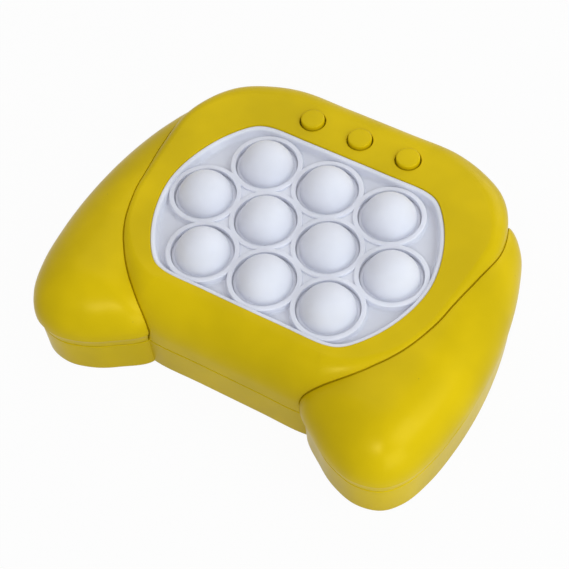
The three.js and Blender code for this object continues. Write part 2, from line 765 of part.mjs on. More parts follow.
// Rubber dome: the return spring of a button, hollow and open below
function rubberDome([x, y]) {
  const top = rubberBase + rubberHeight;
  const profile = [
    [0, top],
    [rubberTop, top],
    [rubberFoot - rubberWall, rubberBase + rubberRim],
    [rubberFoot, rubberBase + rubberRim],
    [rubberFoot, rubberBase],
    [rubberFoot - 2 * rubberWall, rubberBase],
    [rubberTop - rubberWall, top - rubberWall],
    [0, top - rubberWall],
  ];
  return turned(profile, rubberSides, x, y);
}

// Frame that clamps the panel's flange, with a leg down to the board at each board screw
function panelRetainer() {
  const outer = prism(inset(openingOutline, -fitGap - retainerWidth), retainerUnderside, retainerTop);
  const legs = boardScrewPlaces.flatMap(([x, y]) => [
    rod(retainerEar, retainerUnderside, retainerTop, bossSides, x, y),
    rod(retainerLeg, boardTop + fitGap, retainerTop, bossSides, x, y),
  ]);
  return cut(joined([outer, ...legs]), [
    prism(inset(openingOutline, -fitGap), 0, caseHeight),
    ...boardScrewPlaces.map(([x, y]) => rod(screwShank + fitGap, 0, caseHeight, screwSides, x, y)),
  ]);
}

// Printed board: wide under the bubbles, narrower under the buttons
function mainBoard() {
  const half = [
    [0, -boardHalfDepth],
    [boardHalfWidth - boardCorner, -boardHalfDepth],
    [boardHalfWidth, -boardHalfDepth + boardCorner],
    [boardHalfWidth, boardHalfDepth],
    [boardBackHalfWidth, boardHalfDepth],
    [boardBackHalfWidth, boardBack - boardCorner],
    [boardBackHalfWidth - boardCorner, boardBack],
    [0, boardBack],
  ];
  const outline = bothHalves(half).filter(([x], i) => i < half.length || x !== 0);
  const slab = prism(outline.map(([x, y]) => new THREE.Vector2(x, y)), boardUnderside, boardTop);
  const holes = boardScrewPlaces.map(([x, y]) => rod(screwShank + fitGap, 0, caseHeight, screwSides, x, y));
  return cut(slab, holes);
}

function lamp([x, y]) {
  const low = boardTop + fitGap;
  return block(
    [x - lampLength / 2, y - lampWidth / 2, low],
    [x + lampLength / 2, y + lampWidth / 2, low + lampHeight],
  );
}

// Chip: a drop of black resin on the underside of the board
function soundChip() {
  const top = boardUnderside - fitGap;
  const profile = [
    [0, top],
    [chipRadius, top],
    [chipRadius * Math.cos(Math.PI / 4), top - chipHeight * Math.sin(Math.PI / 4)],
    [0, top - chipHeight],
  ];
  return turned(profile, screwSides, chipX, speakerY);
}

// Screw with its head down and a round driver recess in the head
function screw([x, y], headTop, length) {
  const bottom = headTop - screwHeadHeight;
  const profile = [
    [0, bottom + driverSlot],
    [driverRadius, bottom],
    [screwHead, bottom],
    [screwHead, headTop],
    [screwShank, headTop],
    [screwShank, headTop + length - screwShank],
    [0, headTop + length],
  ];
  return turned(profile, screwSides, x, y);
}

// Battery on its side; side is the sign of X that its positive end faces
function battery(y, side) {
  const body = batteryLength - batteryNubLength;
  const profile = [
    [0, 0],
    [batteryRadius - batteryEdge, 0],
    [batteryRadius, batteryEdge],
    [batteryRadius, body - batteryEdge],
    [batteryRadius - batteryEdge, body],
    [batteryNub, body],
    [batteryNub, batteryLength],
    [0, batteryLength],
  ];
  const geometry = new THREE.LatheGeometry(profile.map(([r, h]) => new THREE.Vector2(r, h)), batterySides);
  geometry.rotateZ((-side * Math.PI) / 2);
  geometry.translate(side * (plateFace - fitGap - batteryLength), y, batteryAxis);
  return solid(geometry);
}

// Contact plate at one end of the box, from one battery row to another
function plate(side, fromY, toY) {
  const inner = side * plateFace;
  const outer = side * (plateFace + plateThickness);
  return block(
    [Math.min(inner, outer), fromY - plateHalfWidth, plateLow],
    [Math.max(inner, outer), toY + plateHalfWidth, plateLow + plateHeight],
  );
}

// Tail that carries a contact's lead up through the roof of the box
function tail(side, y) {
  const inner = side * plateFace;
  const outer = side * (plateFace + plateThickness);
  return block(
    [Math.min(inner, outer), y - tailHalfWidth, plateLow + plateHeight - plateThickness],
    [Math.max(inner, outer), y + tailHalfWidth, plateLow + plateHeight + tailHeight],
  );
}

// Conical coil spring on a plate, narrowing towards its battery
class CoilLine extends THREE.Curve {
  constructor(side, y) {
    super();
    this.side = side;
    this.y = y;
  }

  getPoint(t) {
    const angle = 2 * Math.PI * springTurns * t;
    const radius = springWide + (springNarrow - springWide) * t;
    const start = plateFace + plateThickness / 2;
    const end = plateFace - springLength + springWire;
    return new THREE.Vector3(
      this.side * (start + (end - start) * t),
      this.y + radius * Math.cos(angle),
      batteryAxis + radius * Math.sin(angle),
    );
  }
}

const coil = (side, y) => wire(new CoilLine(side, y), springWire, springSides, springTurns * springTurnSteps);

// Battery door: a plate with two tabs at one end, and at the other a thick tongue that holds its screw
function batteryDoor() {
  const end = doorHoleHalfLength - fitGap;
  const tabLow = floorThickness + fitGap;
  const tabTop = tabLow + tabThickness;
  const body = joined([
    block([-end, batteryCentreY - doorHalfWidth, doorRecess], [end, batteryCentreY + doorHalfWidth, doorTop]),
    block(
      [end - tongueHalfWidth / 2, batteryCentreY - tongueHalfWidth, doorRecess],
      [end + tongueLength, batteryCentreY + tongueHalfWidth, doorRecess + doorThickness],
    ),
    block(
      [doorHoleHalfLength + fitGap, batteryCentreY - tongueHalfWidth, doorRecess],
      [end + tongueLength, batteryCentreY + tongueHalfWidth, doorRecess + tongueThickness],
    ),
    ...tabPlaces.flatMap((y) => [
      block([-end, y - tabHalfWidth, doorRecess], [-end + tabRiser, y + tabHalfWidth, tabTop]),
      block([-end - tabLength, y - tabHalfWidth, tabLow], [-end + tabRiser, y + tabHalfWidth, tabTop]),
    ]),
  ]);
  const headRoom = doorRecess + fitGap + screwHeadHeight + fitGap;
  return cut(body, [
    rod(screwHead + fitGap, -overrun, headRoom, bossSides, doorScrewX, batteryCentreY),
    rod(screwShank + fitGap, 0, caseHeight, screwSides, doorScrewX, batteryCentreY),
  ]);
}

// Loudspeaker, facing down: basket, magnet and cone
const speakerLow = floorThickness + fitGap;
const speakerTop = speakerLow + speakerDepth;

function speakerBasket() {
  const inner = speakerRadius - speakerRimWidth;
  const profile = [
    [inner, speakerLow],
    [speakerRadius, speakerLow],
    [speakerRadius, speakerLow + speakerRim],
    [inner + speakerSkin, speakerLow + speakerRim],
    [speakerBack, speakerTop],
    [0, speakerTop],
    [0, speakerTop - speakerSkin],
    [speakerBack - speakerSkin / 2, speakerTop - speakerSkin],
    [inner, speakerLow + speakerRim / 2],
    [inner, speakerLow],
  ];
  return turned(profile, speakerSides, 0, speakerY);
}

function speakerCone() {
  const low = speakerLow + fitGap;
  const edge = speakerRadius - speakerRimWidth - fitGap;
  const middle = (edge + coneFlat) / 2;
  const profile = [
    [0, low],
    [coneFlat, low + coneDepth],
    [middle, low + coneDepth],
    [edge, low],
    [edge, low + coneSkin],
    [middle, low + coneDepth + coneSkin],
    [coneFlat, low + coneDepth + coneSkin],
    [0, low + coneSkin],
  ];
  return turned(profile, speakerSides, 0, speakerY);
}

function speakerMagnet() {
  const low = speakerTop + fitGap;
  return rod(magnetRadius, low, low + magnetHeight, speakerSides, 0, speakerY);
}

// Lead between two points, bowed sideways on its way
function lead(start, end, bow) {
  const middle = start.clone().add(end).multiplyScalar(0.5).add(bow);
  const rise = new THREE.Vector3(0, 0, (end.z - start.z) * leadRiseShare);
  const points = [start, start.clone().add(rise), middle, end.clone().sub(rise), end];
  return wire(new THREE.CatmullRomCurve3(points), leadRadius, leadSides, leadSteps);
}

function batteryLead(side, y) {
  const x = side * (plateFace + plateThickness / 2);
  const start = new THREE.Vector3(x, y, plateLow + plateHeight + tailHeight + fitGap);
  const end = new THREE.Vector3(x + side * leadReachX, y, boardUnderside - fitGap);
  return lead(start, end, new THREE.Vector3(0, -leadBow, 0));
}

function speakerLead(side) {
  const x = speakerRadius - speakerLeadInset;
  const radial = x - speakerBack;
  const slope = (speakerDepth - speakerRim) / (speakerRadius - speakerRimWidth + speakerSkin - speakerBack);
  const start = new THREE.Vector3(side * x, speakerY, speakerTop - radial * slope + 2 * fitGap);
  const end = new THREE.Vector3(side * x, speakerY + speakerLeadReach, boardUnderside - fitGap);
  return lead(start, end, new THREE.Vector3(side * leadBow, 0, 0));
}

addPiece("upper_shell", upperShell(), yellowPlastic);
addPiece("lower_shell", lowerShell(), yellowPlastic);
addPiece("bubble_panel", bubblePanel(), whiteSilicone);
bubblePlaces.forEach((place, i) => addPiece(`bubble_${i + 1}`, bubble(place), whiteSilicone));
["power_button", "level_button", "volume_button"].forEach((name, i) => {
  addPiece(name, pushButton(buttonPlaces[i]), yellowPlastic);
  addPiece(name.replace("button", "rubber_dome"), rubberDome(buttonPlaces[i]), softRubber);
});
addPiece("panel_retainer", panelRetainer(), naturalPlastic);
addPiece("main_board", mainBoard(), boardGreen);
bubblePlaces.forEach((place, i) => addPiece(`lamp_${i + 1}`, lamp(place), lampWhite));
addPiece("sound_chip", soundChip(), blackPlastic);
boardScrewPlaces.forEach((place, i) => {
  addPiece(`board_screw_${i + 1}`, screw(place, boardUnderside - fitGap, boardScrewLength), steel);
});
shellScrewPlaces.forEach((place, i) => {
  addPiece(`shell_screw_${i + 1}`, screw(place, screwSeat - fitGap, shellScrewLength), steel);
});
addPiece("speaker_basket", speakerBasket(), steel);
addPiece("speaker_magnet", speakerMagnet(), steel);
addPiece("speaker_cone", speakerCone(), conePaper);
batteryRows.forEach((y, i) => addPiece(`battery_${i + 1}`, battery(y, i % 2 ? -1 : 1), batteryJacket));
const [frontRow, middleRow, backRow] = batteryRows;
addPiece("contact_positive", plate(1, frontRow, frontRow).add(tail(1, frontRow)), steel);
addPiece("contact_bridge_1", plate(-1, frontRow, middleRow).add(coil(-1, frontRow)), steel);
addPiece("contact_bridge_2", plate(1, middleRow, backRow).add(coil(1, middleRow)), steel);
const negative = joined([plate(-1, backRow, backRow), tail(-1, backRow), coil(-1, backRow)]);
addPiece("contact_negative", negative, steel);
addPiece("battery_door", batteryDoor(), yellowPlastic);
addPiece(
  "door_screw",
  screw([doorScrewX, batteryCentreY], doorRecess + fitGap + screwHeadHeight, doorScrewLength),
  steel,
);
addPiece("battery_lead_positive", batteryLead(1, frontRow), redWire);
addPiece("battery_lead_negative", batteryLead(-1, backRow), blackWire);
addPiece("speaker_lead_1", speakerLead(-1), redWire);
addPiece("speaker_lead_2", speakerLead(1), blackWire);

// The origin is the middle of the underside of the whole game's box
const box = new THREE.Box3().setFromObject(assembly);
assembly.position.set(0, -(box.min.y + box.max.y) / 2, 0);

const game = new THREE.Group();
game.add(assembly);
export default game;
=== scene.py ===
"""Looks of a hand-held electronic push game.

A yellow two-part case with two grips, a white silicone panel of bubbles, three small buttons, and the parts
that show round the battery door. Forms are worked out in millimetres about the middle of the panel, as numpy
grids, and they become meshes in metres when a piece is finished.
"""
import itertools
import json
import logging
import math
from collections.abc import Iterable, Sequence
from dataclasses import dataclass
from enum import Enum

import bmesh
import bpy
import numpy as np
from mathutils import Matrix, Vector


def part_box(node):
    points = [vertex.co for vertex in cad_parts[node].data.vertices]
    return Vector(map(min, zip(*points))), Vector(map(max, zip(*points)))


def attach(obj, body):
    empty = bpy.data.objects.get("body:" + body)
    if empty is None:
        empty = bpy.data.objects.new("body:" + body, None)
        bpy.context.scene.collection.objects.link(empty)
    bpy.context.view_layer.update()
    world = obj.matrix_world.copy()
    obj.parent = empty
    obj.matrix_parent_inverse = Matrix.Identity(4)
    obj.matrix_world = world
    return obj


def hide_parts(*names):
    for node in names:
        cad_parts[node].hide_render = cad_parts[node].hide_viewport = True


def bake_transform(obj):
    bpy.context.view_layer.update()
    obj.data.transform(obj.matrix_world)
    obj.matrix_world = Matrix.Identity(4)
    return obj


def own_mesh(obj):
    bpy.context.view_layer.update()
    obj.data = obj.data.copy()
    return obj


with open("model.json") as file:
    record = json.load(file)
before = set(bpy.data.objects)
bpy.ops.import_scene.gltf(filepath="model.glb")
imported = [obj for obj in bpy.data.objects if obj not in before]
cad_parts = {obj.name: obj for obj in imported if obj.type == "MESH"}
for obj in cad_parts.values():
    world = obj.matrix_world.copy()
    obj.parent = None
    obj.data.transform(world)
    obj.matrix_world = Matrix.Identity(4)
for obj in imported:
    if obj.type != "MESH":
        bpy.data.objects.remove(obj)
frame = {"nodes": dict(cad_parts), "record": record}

Array = np.ndarray
Colour = tuple[float, float, float]
Rows = Sequence[Sequence[float]]

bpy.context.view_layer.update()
LOG = logging.getLogger("push_game")
MM = 0.001
QUARTER = math.pi / 2
PANEL = np.array([0.0, np.mean([corner[1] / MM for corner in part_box("bubble_5")]), 0.0])
BUTTON_NODES = ("power_button", "level_button", "volume_button")


# Places of the CAD nodes

def node_span(node: str) -> tuple[Array, Array]:
    """Gives a CAD node's lowest and highest corner in millimetres about the panel's middle."""
    low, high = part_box(node)
    return np.array(low) / MM - PANEL, np.array(high) / MM - PANEL


def node_centre(node: str) -> Array:
    """Gives the middle of a CAD node's box in millimetres about the panel's middle."""
    return np.mean(node_span(node), axis=0)


def round_size(node: str) -> tuple[float, float, float]:
    """Gives a round node's radius, and its lowest and highest level."""
    low, high = node_span(node)
    return (high[0] - low[0]) / 2, low[2], high[2]


def numbered(kind: str, count: int) -> list[str]:
    """Gives the names of the numbered nodes of a kind."""
    return [f"{kind}_{number}" for number in range(1, count + 1)]


def centres(kind: str, count: int) -> list[Array]:
    """Gives the middles of the numbered nodes of a kind."""
    return [node_centre(node) for node in numbered(kind, count)]


def tab_rows(middle: float) -> list[float]:
    """Gives the places across of the door's two tabs, which lie between the batteries."""
    pitch = node_centre("battery_3")[1] - node_centre("battery_2")[1]
    return [middle + side * pitch / 2 for side in (-1, 1)]


def placed(name: str, data: bpy.types.ID) -> bpy.types.Object:
    """Puts a new object that holds some data into the scene.

    Args:
        name: Its name.
        data: Its mesh, camera or lamp.

    Returns:
        The object.
    """
    made = bpy.data.objects.new(name, data)
    bpy.context.scene.collection.objects.link(made)
    return made


# Curves and rings

def arc(centre: Sequence[float], radius: float | Sequence[float], start: float, end: float, steps: int) -> Array:
    """Samples part of a circle or an upright ellipse, as centre + (a cos t, b sin t) for even steps of t.

    Args:
        centre: Middle as (across, up).
        radius: Radius, or the two half axes (across, up).
        start: First angle in degrees.
        end: Last angle in degrees.
        steps: Number of chords.

    Returns:
        Points of shape (steps + 1, 2).
    """
    angle = np.radians(np.linspace(start, end, steps + 1))
    return np.array(centre) + np.broadcast_to(radius, 2) * np.column_stack([np.cos(angle), np.sin(angle)])


def closed_curve(rows: Array, per_span: int) -> Array:
    """Samples a closed smooth curve that passes through every row.

    The knots are the square roots of the distances between rows, taken in the first two columns, and three
    rounds of linear blending between neighbours give the curve. Further columns are carried along.

    Args:
        rows: Rows to pass through, of shape (rows, columns).
        per_span: Samples from one row to the next.

    Returns:
        Samples of shape (rows * per_span, columns).
    """
    p0, p1, p2, p3 = (np.roll(rows, shift, axis=0)[:, None, :] for shift in (1, 0, -1, -2))
    d0, d1, d2 = (
        np.linalg.norm((b - a)[..., :2], axis=-1, keepdims=True) ** 0.5 for a, b in ((p0, p1), (p1, p2), (p2, p3))
    )
    t = d1 * (np.arange(per_span) / per_span)[None, :, None]
    a1 = (p1 * (t + d0) - p0 * t) / d0
    a2 = (p1 * (d1 - t) + p2 * t) / d1
    a3 = (p2 * (d1 + d2 - t) + p3 * (t - d1)) / d2
    b1 = (a1 * (d1 - t) + a2 * (t + d0)) / (d0 + d1)
    b2 = (a2 * (d1 + d2 - t) + a3 * t) / (d1 + d2)
    return ((b1 * (d1 - t) + b2 * t) / d1).reshape(-1, rows.shape[1])


def both_halves(rows: Rows) -> Array:
    """Completes a table that gives the right half from front to back with its mirror image."""
    right = np.array(rows, float)
    return np.concatenate([right, right[::-1] * [-1, *[1] * (right.shape[1] - 1)]])


def sized(shares: Array, half_width: float, front: float, back: float, *further: float) -> Array:
    """Turns rows of shares into millimetres.

    Args:
        shares: Rows of (across, along, ...).
        half_width: Size of a share of 1 across.
        front: Size of a share of 1 along, in front of the middle.
        back: The same behind the middle.
        further: Sizes of the further columns.

    Returns:
        Rows of the same shape.
    """
    reach = np.where(shares[:, 1] < 0, front, back)
    return shares * np.column_stack([np.broadcast_to(size, len(shares)) for size in (half_width, reach, *further)])


def inward(ring: Array) -> Array:
    """Gives the unit normals that point into an anticlockwise ring, from its neighbours' direction.

    Args:
        ring: Points of shape (points, 2 or more).

    Returns:
        Normals of shape (points, 2).
    """
    along = np.roll(ring[:, :2], -1, axis=0) - np.roll(ring[:, :2], 1, axis=0)
    along /= np.linalg.norm(along, axis=1, keepdims=True)
    return np.column_stack([-along[:, 1], along[:, 0]])


def inset(ring: Array, distance: float | Array) -> Array:
    """Moves each point of an anticlockwise ring in by a distance, or by its own distance."""
    return ring[:, :2] + inward(ring) * np.reshape(distance, (-1, 1))


def even_line(line: Array, spacing: float) -> Array:
    """Spaces the points of a line evenly and smooths it with a running mean of five.

    Args:
        line: Points of shape (points, 3).
        spacing: Distance between neighbours.

    Returns:
        The even line, which keeps both ends.
    """
    travelled = np.concatenate([[0], np.cumsum(np.linalg.norm(np.diff(line, axis=0), axis=1))])
    even = np.linspace(0, travelled[-1], int(travelled[-1] / spacing) + 1)
    points = np.column_stack([np.interp(even, travelled, line[:, axis]) for axis in range(3)])
    padded = np.concatenate([points[:1], points[:1], points, points[-1:], points[-1:]])
    smooth = sum(padded[shift:shift + len(points)] for shift in range(5)) / 5
    smooth[[0, -1]] = points[[0, -1]]
    return smooth


def stacked(ring: Array, levels: Rows) -> Array:
    """Stacks copies of a ring at levels of (inset, height), in the shape (levels, points, 3)."""
    return np.stack([np.column_stack([inset(ring, move), np.full(len(ring), height)]) for move, height in levels])


def circle(radius: float | Sequence[float], sides: int, centre: Sequence[float] = (0.0, 0.0)) -> Array:
    """Gives an anticlockwise ring of points on a circle."""
    return arc(centre[:2], radius, 0, 360, sides)[:-1]


def rounded_rectangle(low: Sequence[float], high: Sequence[float], radius: float, steps: int) -> Array:
    """Gives an anticlockwise rectangle with rounded corners.

    Args:
        low: Its lowest corner.
        high: Its highest corner.
        radius: Radius of the corners.
        steps: Chords of each corner.

    Returns:
        Points of shape (4 * steps + 4, 2).
    """
    corners = np.array([(high[0], high[1]), (low[0], high[1]), (low[0], low[1]), (high[0], low[1])])
    middles = corners + np.sign(corners.mean(axis=0) - corners) * radius
    numbers = enumerate(middles)
    return np.concatenate([arc(middle, radius, 90 * turn, 90 * turn + 90, steps) for turn, middle in numbers])


# Solids

class Ends(Enum):
    """How the first and last ring of a stack are closed."""

    CAPPED = "each end gets a flat cap"
    FOOT_ONLY = "the first ring gets a cap, and the sides of the last ring meet"
    MET = "both end rings shrink to a point or a line"
    LOOPED = "the last ring joins the first"


class Action(Enum):
    """What one body does to another, in the modifier's words."""

    JOIN = "UNION"
    CUT = "DIFFERENCE"
    LIMIT = "INTERSECT"


@dataclass
class Solid:
    """A closed body in millimetres that can be joined (+), cut (-) and limited (&) by another."""

    mesh: bpy.types.Mesh

    @classmethod
    def skinned(cls, rings: Array, ends: Ends = Ends.CAPPED) -> "Solid":
        """Skins a stack of rings.

        Each point is joined to its neighbours round the ring and up the stack, points that fall together
        are merged, and the faces are turned so that the volume is positive.

        Args:
            rings: Points of shape (levels, points, 3).
            ends: How the stack is closed.

        Returns:
            The closed body.
        """
        levels, count, _ = rings.shape
        index = np.arange(levels * count).reshape(levels, count)
        upper = np.roll(index, -1, axis=0) if ends is Ends.LOOPED else index[1:]
        lower = index if ends is Ends.LOOPED else index[:-1]
        beside = (np.roll(lower, -1, axis=1), np.roll(upper, -1, axis=1))
        faces = np.stack([lower, *beside, upper], axis=-1).reshape(-1, 4).tolist()
        if ends in (Ends.CAPPED, Ends.FOOT_ONLY):
            faces.append(index[0][::-1].tolist())
        if ends is Ends.CAPPED:
            faces.append(index[-1].tolist())
        mesh = bpy.data.meshes.new("body")
        mesh.from_pydata(rings.reshape(-1, 3).tolist(), [], faces)
        working = bmesh.new()
        working.from_mesh(mesh)
        bmesh.ops.remove_doubles(working, verts=working.verts, dist=1e-4)
        if working.calc_volume(signed=True) < 0:
            bmesh.ops.reverse_faces(working, faces=working.faces)
        working.to_mesh(mesh)
        working.free()
        return cls(mesh)

    @classmethod
    def prism(cls, ring: Array, low: float, high: float) -> "Solid":
        """Raises a straight wall over an outline between two heights."""
        return cls.skinned(stacked(ring, [(0, low), (0, high)]))

    @classmethod
    def bar(cls, along: Sequence[float], row: float, half: float, low: float, high: float) -> "Solid":
        """Makes a box.

        Args:
            along: Its two ends along X, in either order.
            row: Its middle along Y.
            half: Half its width along Y.
            low: Its underside.
            high: Its top.

        Returns:
            The box.
        """
        near, far = sorted(along)
        ring = [(near, row - half), (far, row - half), (far, row + half), (near, row + half)]
        return cls.prism(np.array(ring), low, high)

    @classmethod
    def turned(cls, profile: Rows, centre: Sequence[float], sides: int = 64, ends: Ends = Ends.MET) -> "Solid":
        """Turns a profile about an upright axis, so that a point (r, z) becomes the ring (r cos t, r sin t, z).

        Args:
            profile: Points of (radius, height).
            centre: Place of the axis.
            sides: Points of each ring.
            ends: How the stack of rings is closed.

        Returns:
            The turned body.
        """
        profile = np.array(profile, float)
        rings = np.empty((len(profile), sides, 3))
        rings[..., :2] = profile[:, None, :1] * circle(1.0, sides)[None] + np.array(centre[:2])
        rings[..., 2] = profile[:, 1:]
        return cls.skinned(rings, ends)

    @classmethod
    def rods(cls, radius: float, low: float, high: float, places: Iterable[Array], sides: int) -> "Solid":
        """Makes the same upright rod at each of several places, as one body."""
        profile = [(0, low), (radius, low), (radius, high), (0, high)]
        return cls.gathered(cls.turned(profile, place, sides) for place in places)

    @classmethod
    def tube(cls, path: Array, radius: float | Sequence[float], reference: Array | Rows, sides: int = 12) -> "Solid":
        """Carries a circle or an ellipse along a path.

        At each point it lies across the path's direction T, in the plane of N, the part of the reference
        direction that is square to T, and of T x N.

        Args:
            path: Points of shape (points, 3).
            radius: Radius of the tube, or its half axes along N and T x N.
            reference: A direction, or one for each point, that the path never follows.
            sides: Points of the circle.

        Returns:
            The tube with flat ends.
        """
        tangent = np.gradient(path, axis=0)
        tangent /= np.linalg.norm(tangent, axis=1, keepdims=True)
        side = np.broadcast_to(np.array(reference, float), path.shape)
        normal = side - tangent * np.sum(side * tangent, axis=1, keepdims=True)
        normal /= np.linalg.norm(normal, axis=1, keepdims=True)
        binormal = np.cross(tangent, normal)
        across, up = circle(radius, sides).T[:, None, :, None]
        return cls.skinned(path[:, None] + (across * normal[:, None] + up * binormal[:, None]))

    @classmethod
    def gathered(cls, solids: Iterable["Solid"]) -> "Solid":
        """Puts bodies that don't touch into one mesh, to be used together.

        Args:
            solids: The bodies.

        Returns:
            All of them as one body.
        """
        working = bmesh.new()
        for solid in solids:
            working.from_mesh(solid.mesh)
        mesh = bpy.data.meshes.new("bodies")
        working.to_mesh(mesh)
        working.free()
        return cls(mesh)

    def moved(self, matrix: Matrix) -> "Solid":
        """Gives a copy of the body that is moved, turned or mirrored, with its faces still outwards.

        Args:
            matrix: The change in place.

        Returns:
            The changed copy.
        """
        mesh = self.mesh.copy()
        mesh.transform(matrix)
        if matrix.determinant() < 0:
            mesh.flip_normals()
        return Solid(mesh)

    def mirrored(self) -> "Solid":
        """Gives the body's mirror image on the other side of the game's middle."""
        return self.moved(Matrix.Scale(-1, 4, (1, 0, 0)))

    def combined(self, tool: "Solid", action: Action) -> "Solid":
        """Combines the body with another.

        Args:
            tool: The other body.
            action: What that one does to this one.

        Returns:
            The new body.
        """
        target, other = placed("target", self.mesh), placed("tool", tool.mesh)
        modifier = target.modifiers.new("combine", "BOOLEAN")
        modifier.operation = action.value
        modifier.solver = "MANIFOLD"
        modifier.object = other
        evaluated = target.evaluated_get(bpy.context.evaluated_depsgraph_get())
        mesh = bpy.data.meshes.new_from_object(evaluated)
        for item in (target, other):
            bpy.data.objects.remove(item)
        if not mesh.polygons:
            raise ValueError(f"{action.name} leaves nothing of {len(self.mesh.polygons)} faces")
        return Solid(mesh)

    def __add__(self, other: "Solid") -> "Solid":
        """Joins the body with another."""
        return self.combined(other, Action.JOIN)

    def __sub__(self, other: "Solid") -> "Solid":
        """Cuts another body out of this one."""
        return self.combined(other, Action.CUT)

    def __and__(self, other: "Solid") -> "Solid":
        """Keeps what lies in both bodies."""
        return self.combined(other, Action.LIMIT)


# Shader graphs

@dataclass
class Signal:
    """A number that varies over a surface, on which arithmetic adds Math nodes."""

    tree: "Tree"
    socket: bpy.types.NodeSocket

    def __add__(self, other: "Signal | float") -> "Signal":
        """Adds a signal or a number."""
        return self.tree.maths("ADD", self, other)

    def __sub__(self, other: "Signal | float") -> "Signal":
        """Subtracts a signal or a number."""
        return self.tree.maths("SUBTRACT", self, other)

    def __rsub__(self, other: float) -> "Signal":
        """Subtracts the signal from a number."""
        return self.tree.maths("SUBTRACT", other, self)

    def __mul__(self, other: "Signal | float") -> "Signal":
        """Multiplies by a signal or a number."""
        return self.tree.maths("MULTIPLY", self, other)

    __radd__ = __add__
    __rmul__ = __mul__

    def absolute(self) -> "Signal":
        """Drops the sign."""
        return self.tree.maths("ABSOLUTE", self, 0.0)

    def rise(self, low: float, high: float) -> "Signal":
        """Climbs smoothly from 0 at low to 1 at high, or falls if low is the greater.

        Args:
            low: Value that gives 0.
            high: Value that gives 1.

        Returns:
            The smooth step.
        """
        if low > high:
            return 1.0 - self.rise(high, low)
        sockets = {"Value": self, "From Min": low, "From Max": high}
        node = self.tree.node("ShaderNodeMapRange", {"interpolation_type": "SMOOTHSTEP"}, sockets)
        return Signal(self.tree, node.outputs["Result"])


class Tree:
    """The nodes of a material or of the world."""

    def __init__(self, owner: bpy.types.ID) -> None:
        """Turns on an owner's nodes and takes hold of them."""
        owner.use_nodes = True
        self.nodes, self.links = owner.node_tree.nodes, owner.node_tree.links

    def feed(self, socket: bpy.types.NodeSocket, value: object) -> None:
        """Links a signal or socket to an input, or sets a plain value on it.

        Args:
            socket: The input.
            value: What it is fed with.
        """
        source = value.socket if isinstance(value, Signal) else value
        if isinstance(source, bpy.types.NodeSocket):
            self.links.new(source, socket)
        else:
            socket.default_value = source

    def node(self, kind: str, settings: dict | None = None, sockets: dict | None = None) -> bpy.types.Node:
        """Adds a node.

        Args:
            kind: The node's type.
            settings: Its own settings, which are set first.
            sockets: Values or links of its inputs, by name or number.

        Returns:
            The new node.
        """
        made = self.nodes.new(kind)
        for name, value in (settings or {}).items():
            setattr(made, name, value)
        for key, value in (sockets or {}).items():
            self.feed(made.inputs[key], value)
        return made

    def maths(self, operation: str, first: Signal | float, second: Signal | float) -> Signal:
        """Adds a Math node and gives its result."""
        node = self.node("ShaderNodeMath", {"operation": operation}, {0: first, 1: second})
        return Signal(self, node.outputs[0])

    def seen(self) -> Signal:
        """Gives 1 for rays that see the background, straight, in a mirror or through glass.

        Returns:
            1 for such rays and 0 for all others.
        """
        rays = self.node("ShaderNodeLightPath").outputs
        kinds = ("Camera", "Glossy", "Transmission")
        straight, mirrored, clear = (Signal(self, rays[f"Is {kind} Ray"]) for kind in kinds)
        return self.maths("MAXIMUM", self.maths("MAXIMUM", straight, mirrored), clear)

    def cover(self, share: Signal, under: bpy.types.Node, over: bpy.types.Node, output: str) -> None:
        """Feeds an output's surface with two shaders, mixed by the share of the upper one."""
        mix = self.node("ShaderNodeMixShader", None, {0: share, 1: under.outputs[0], 2: over.outputs[0]})
        self.feed(self.nodes[output].inputs["Surface"], mix.outputs[0])


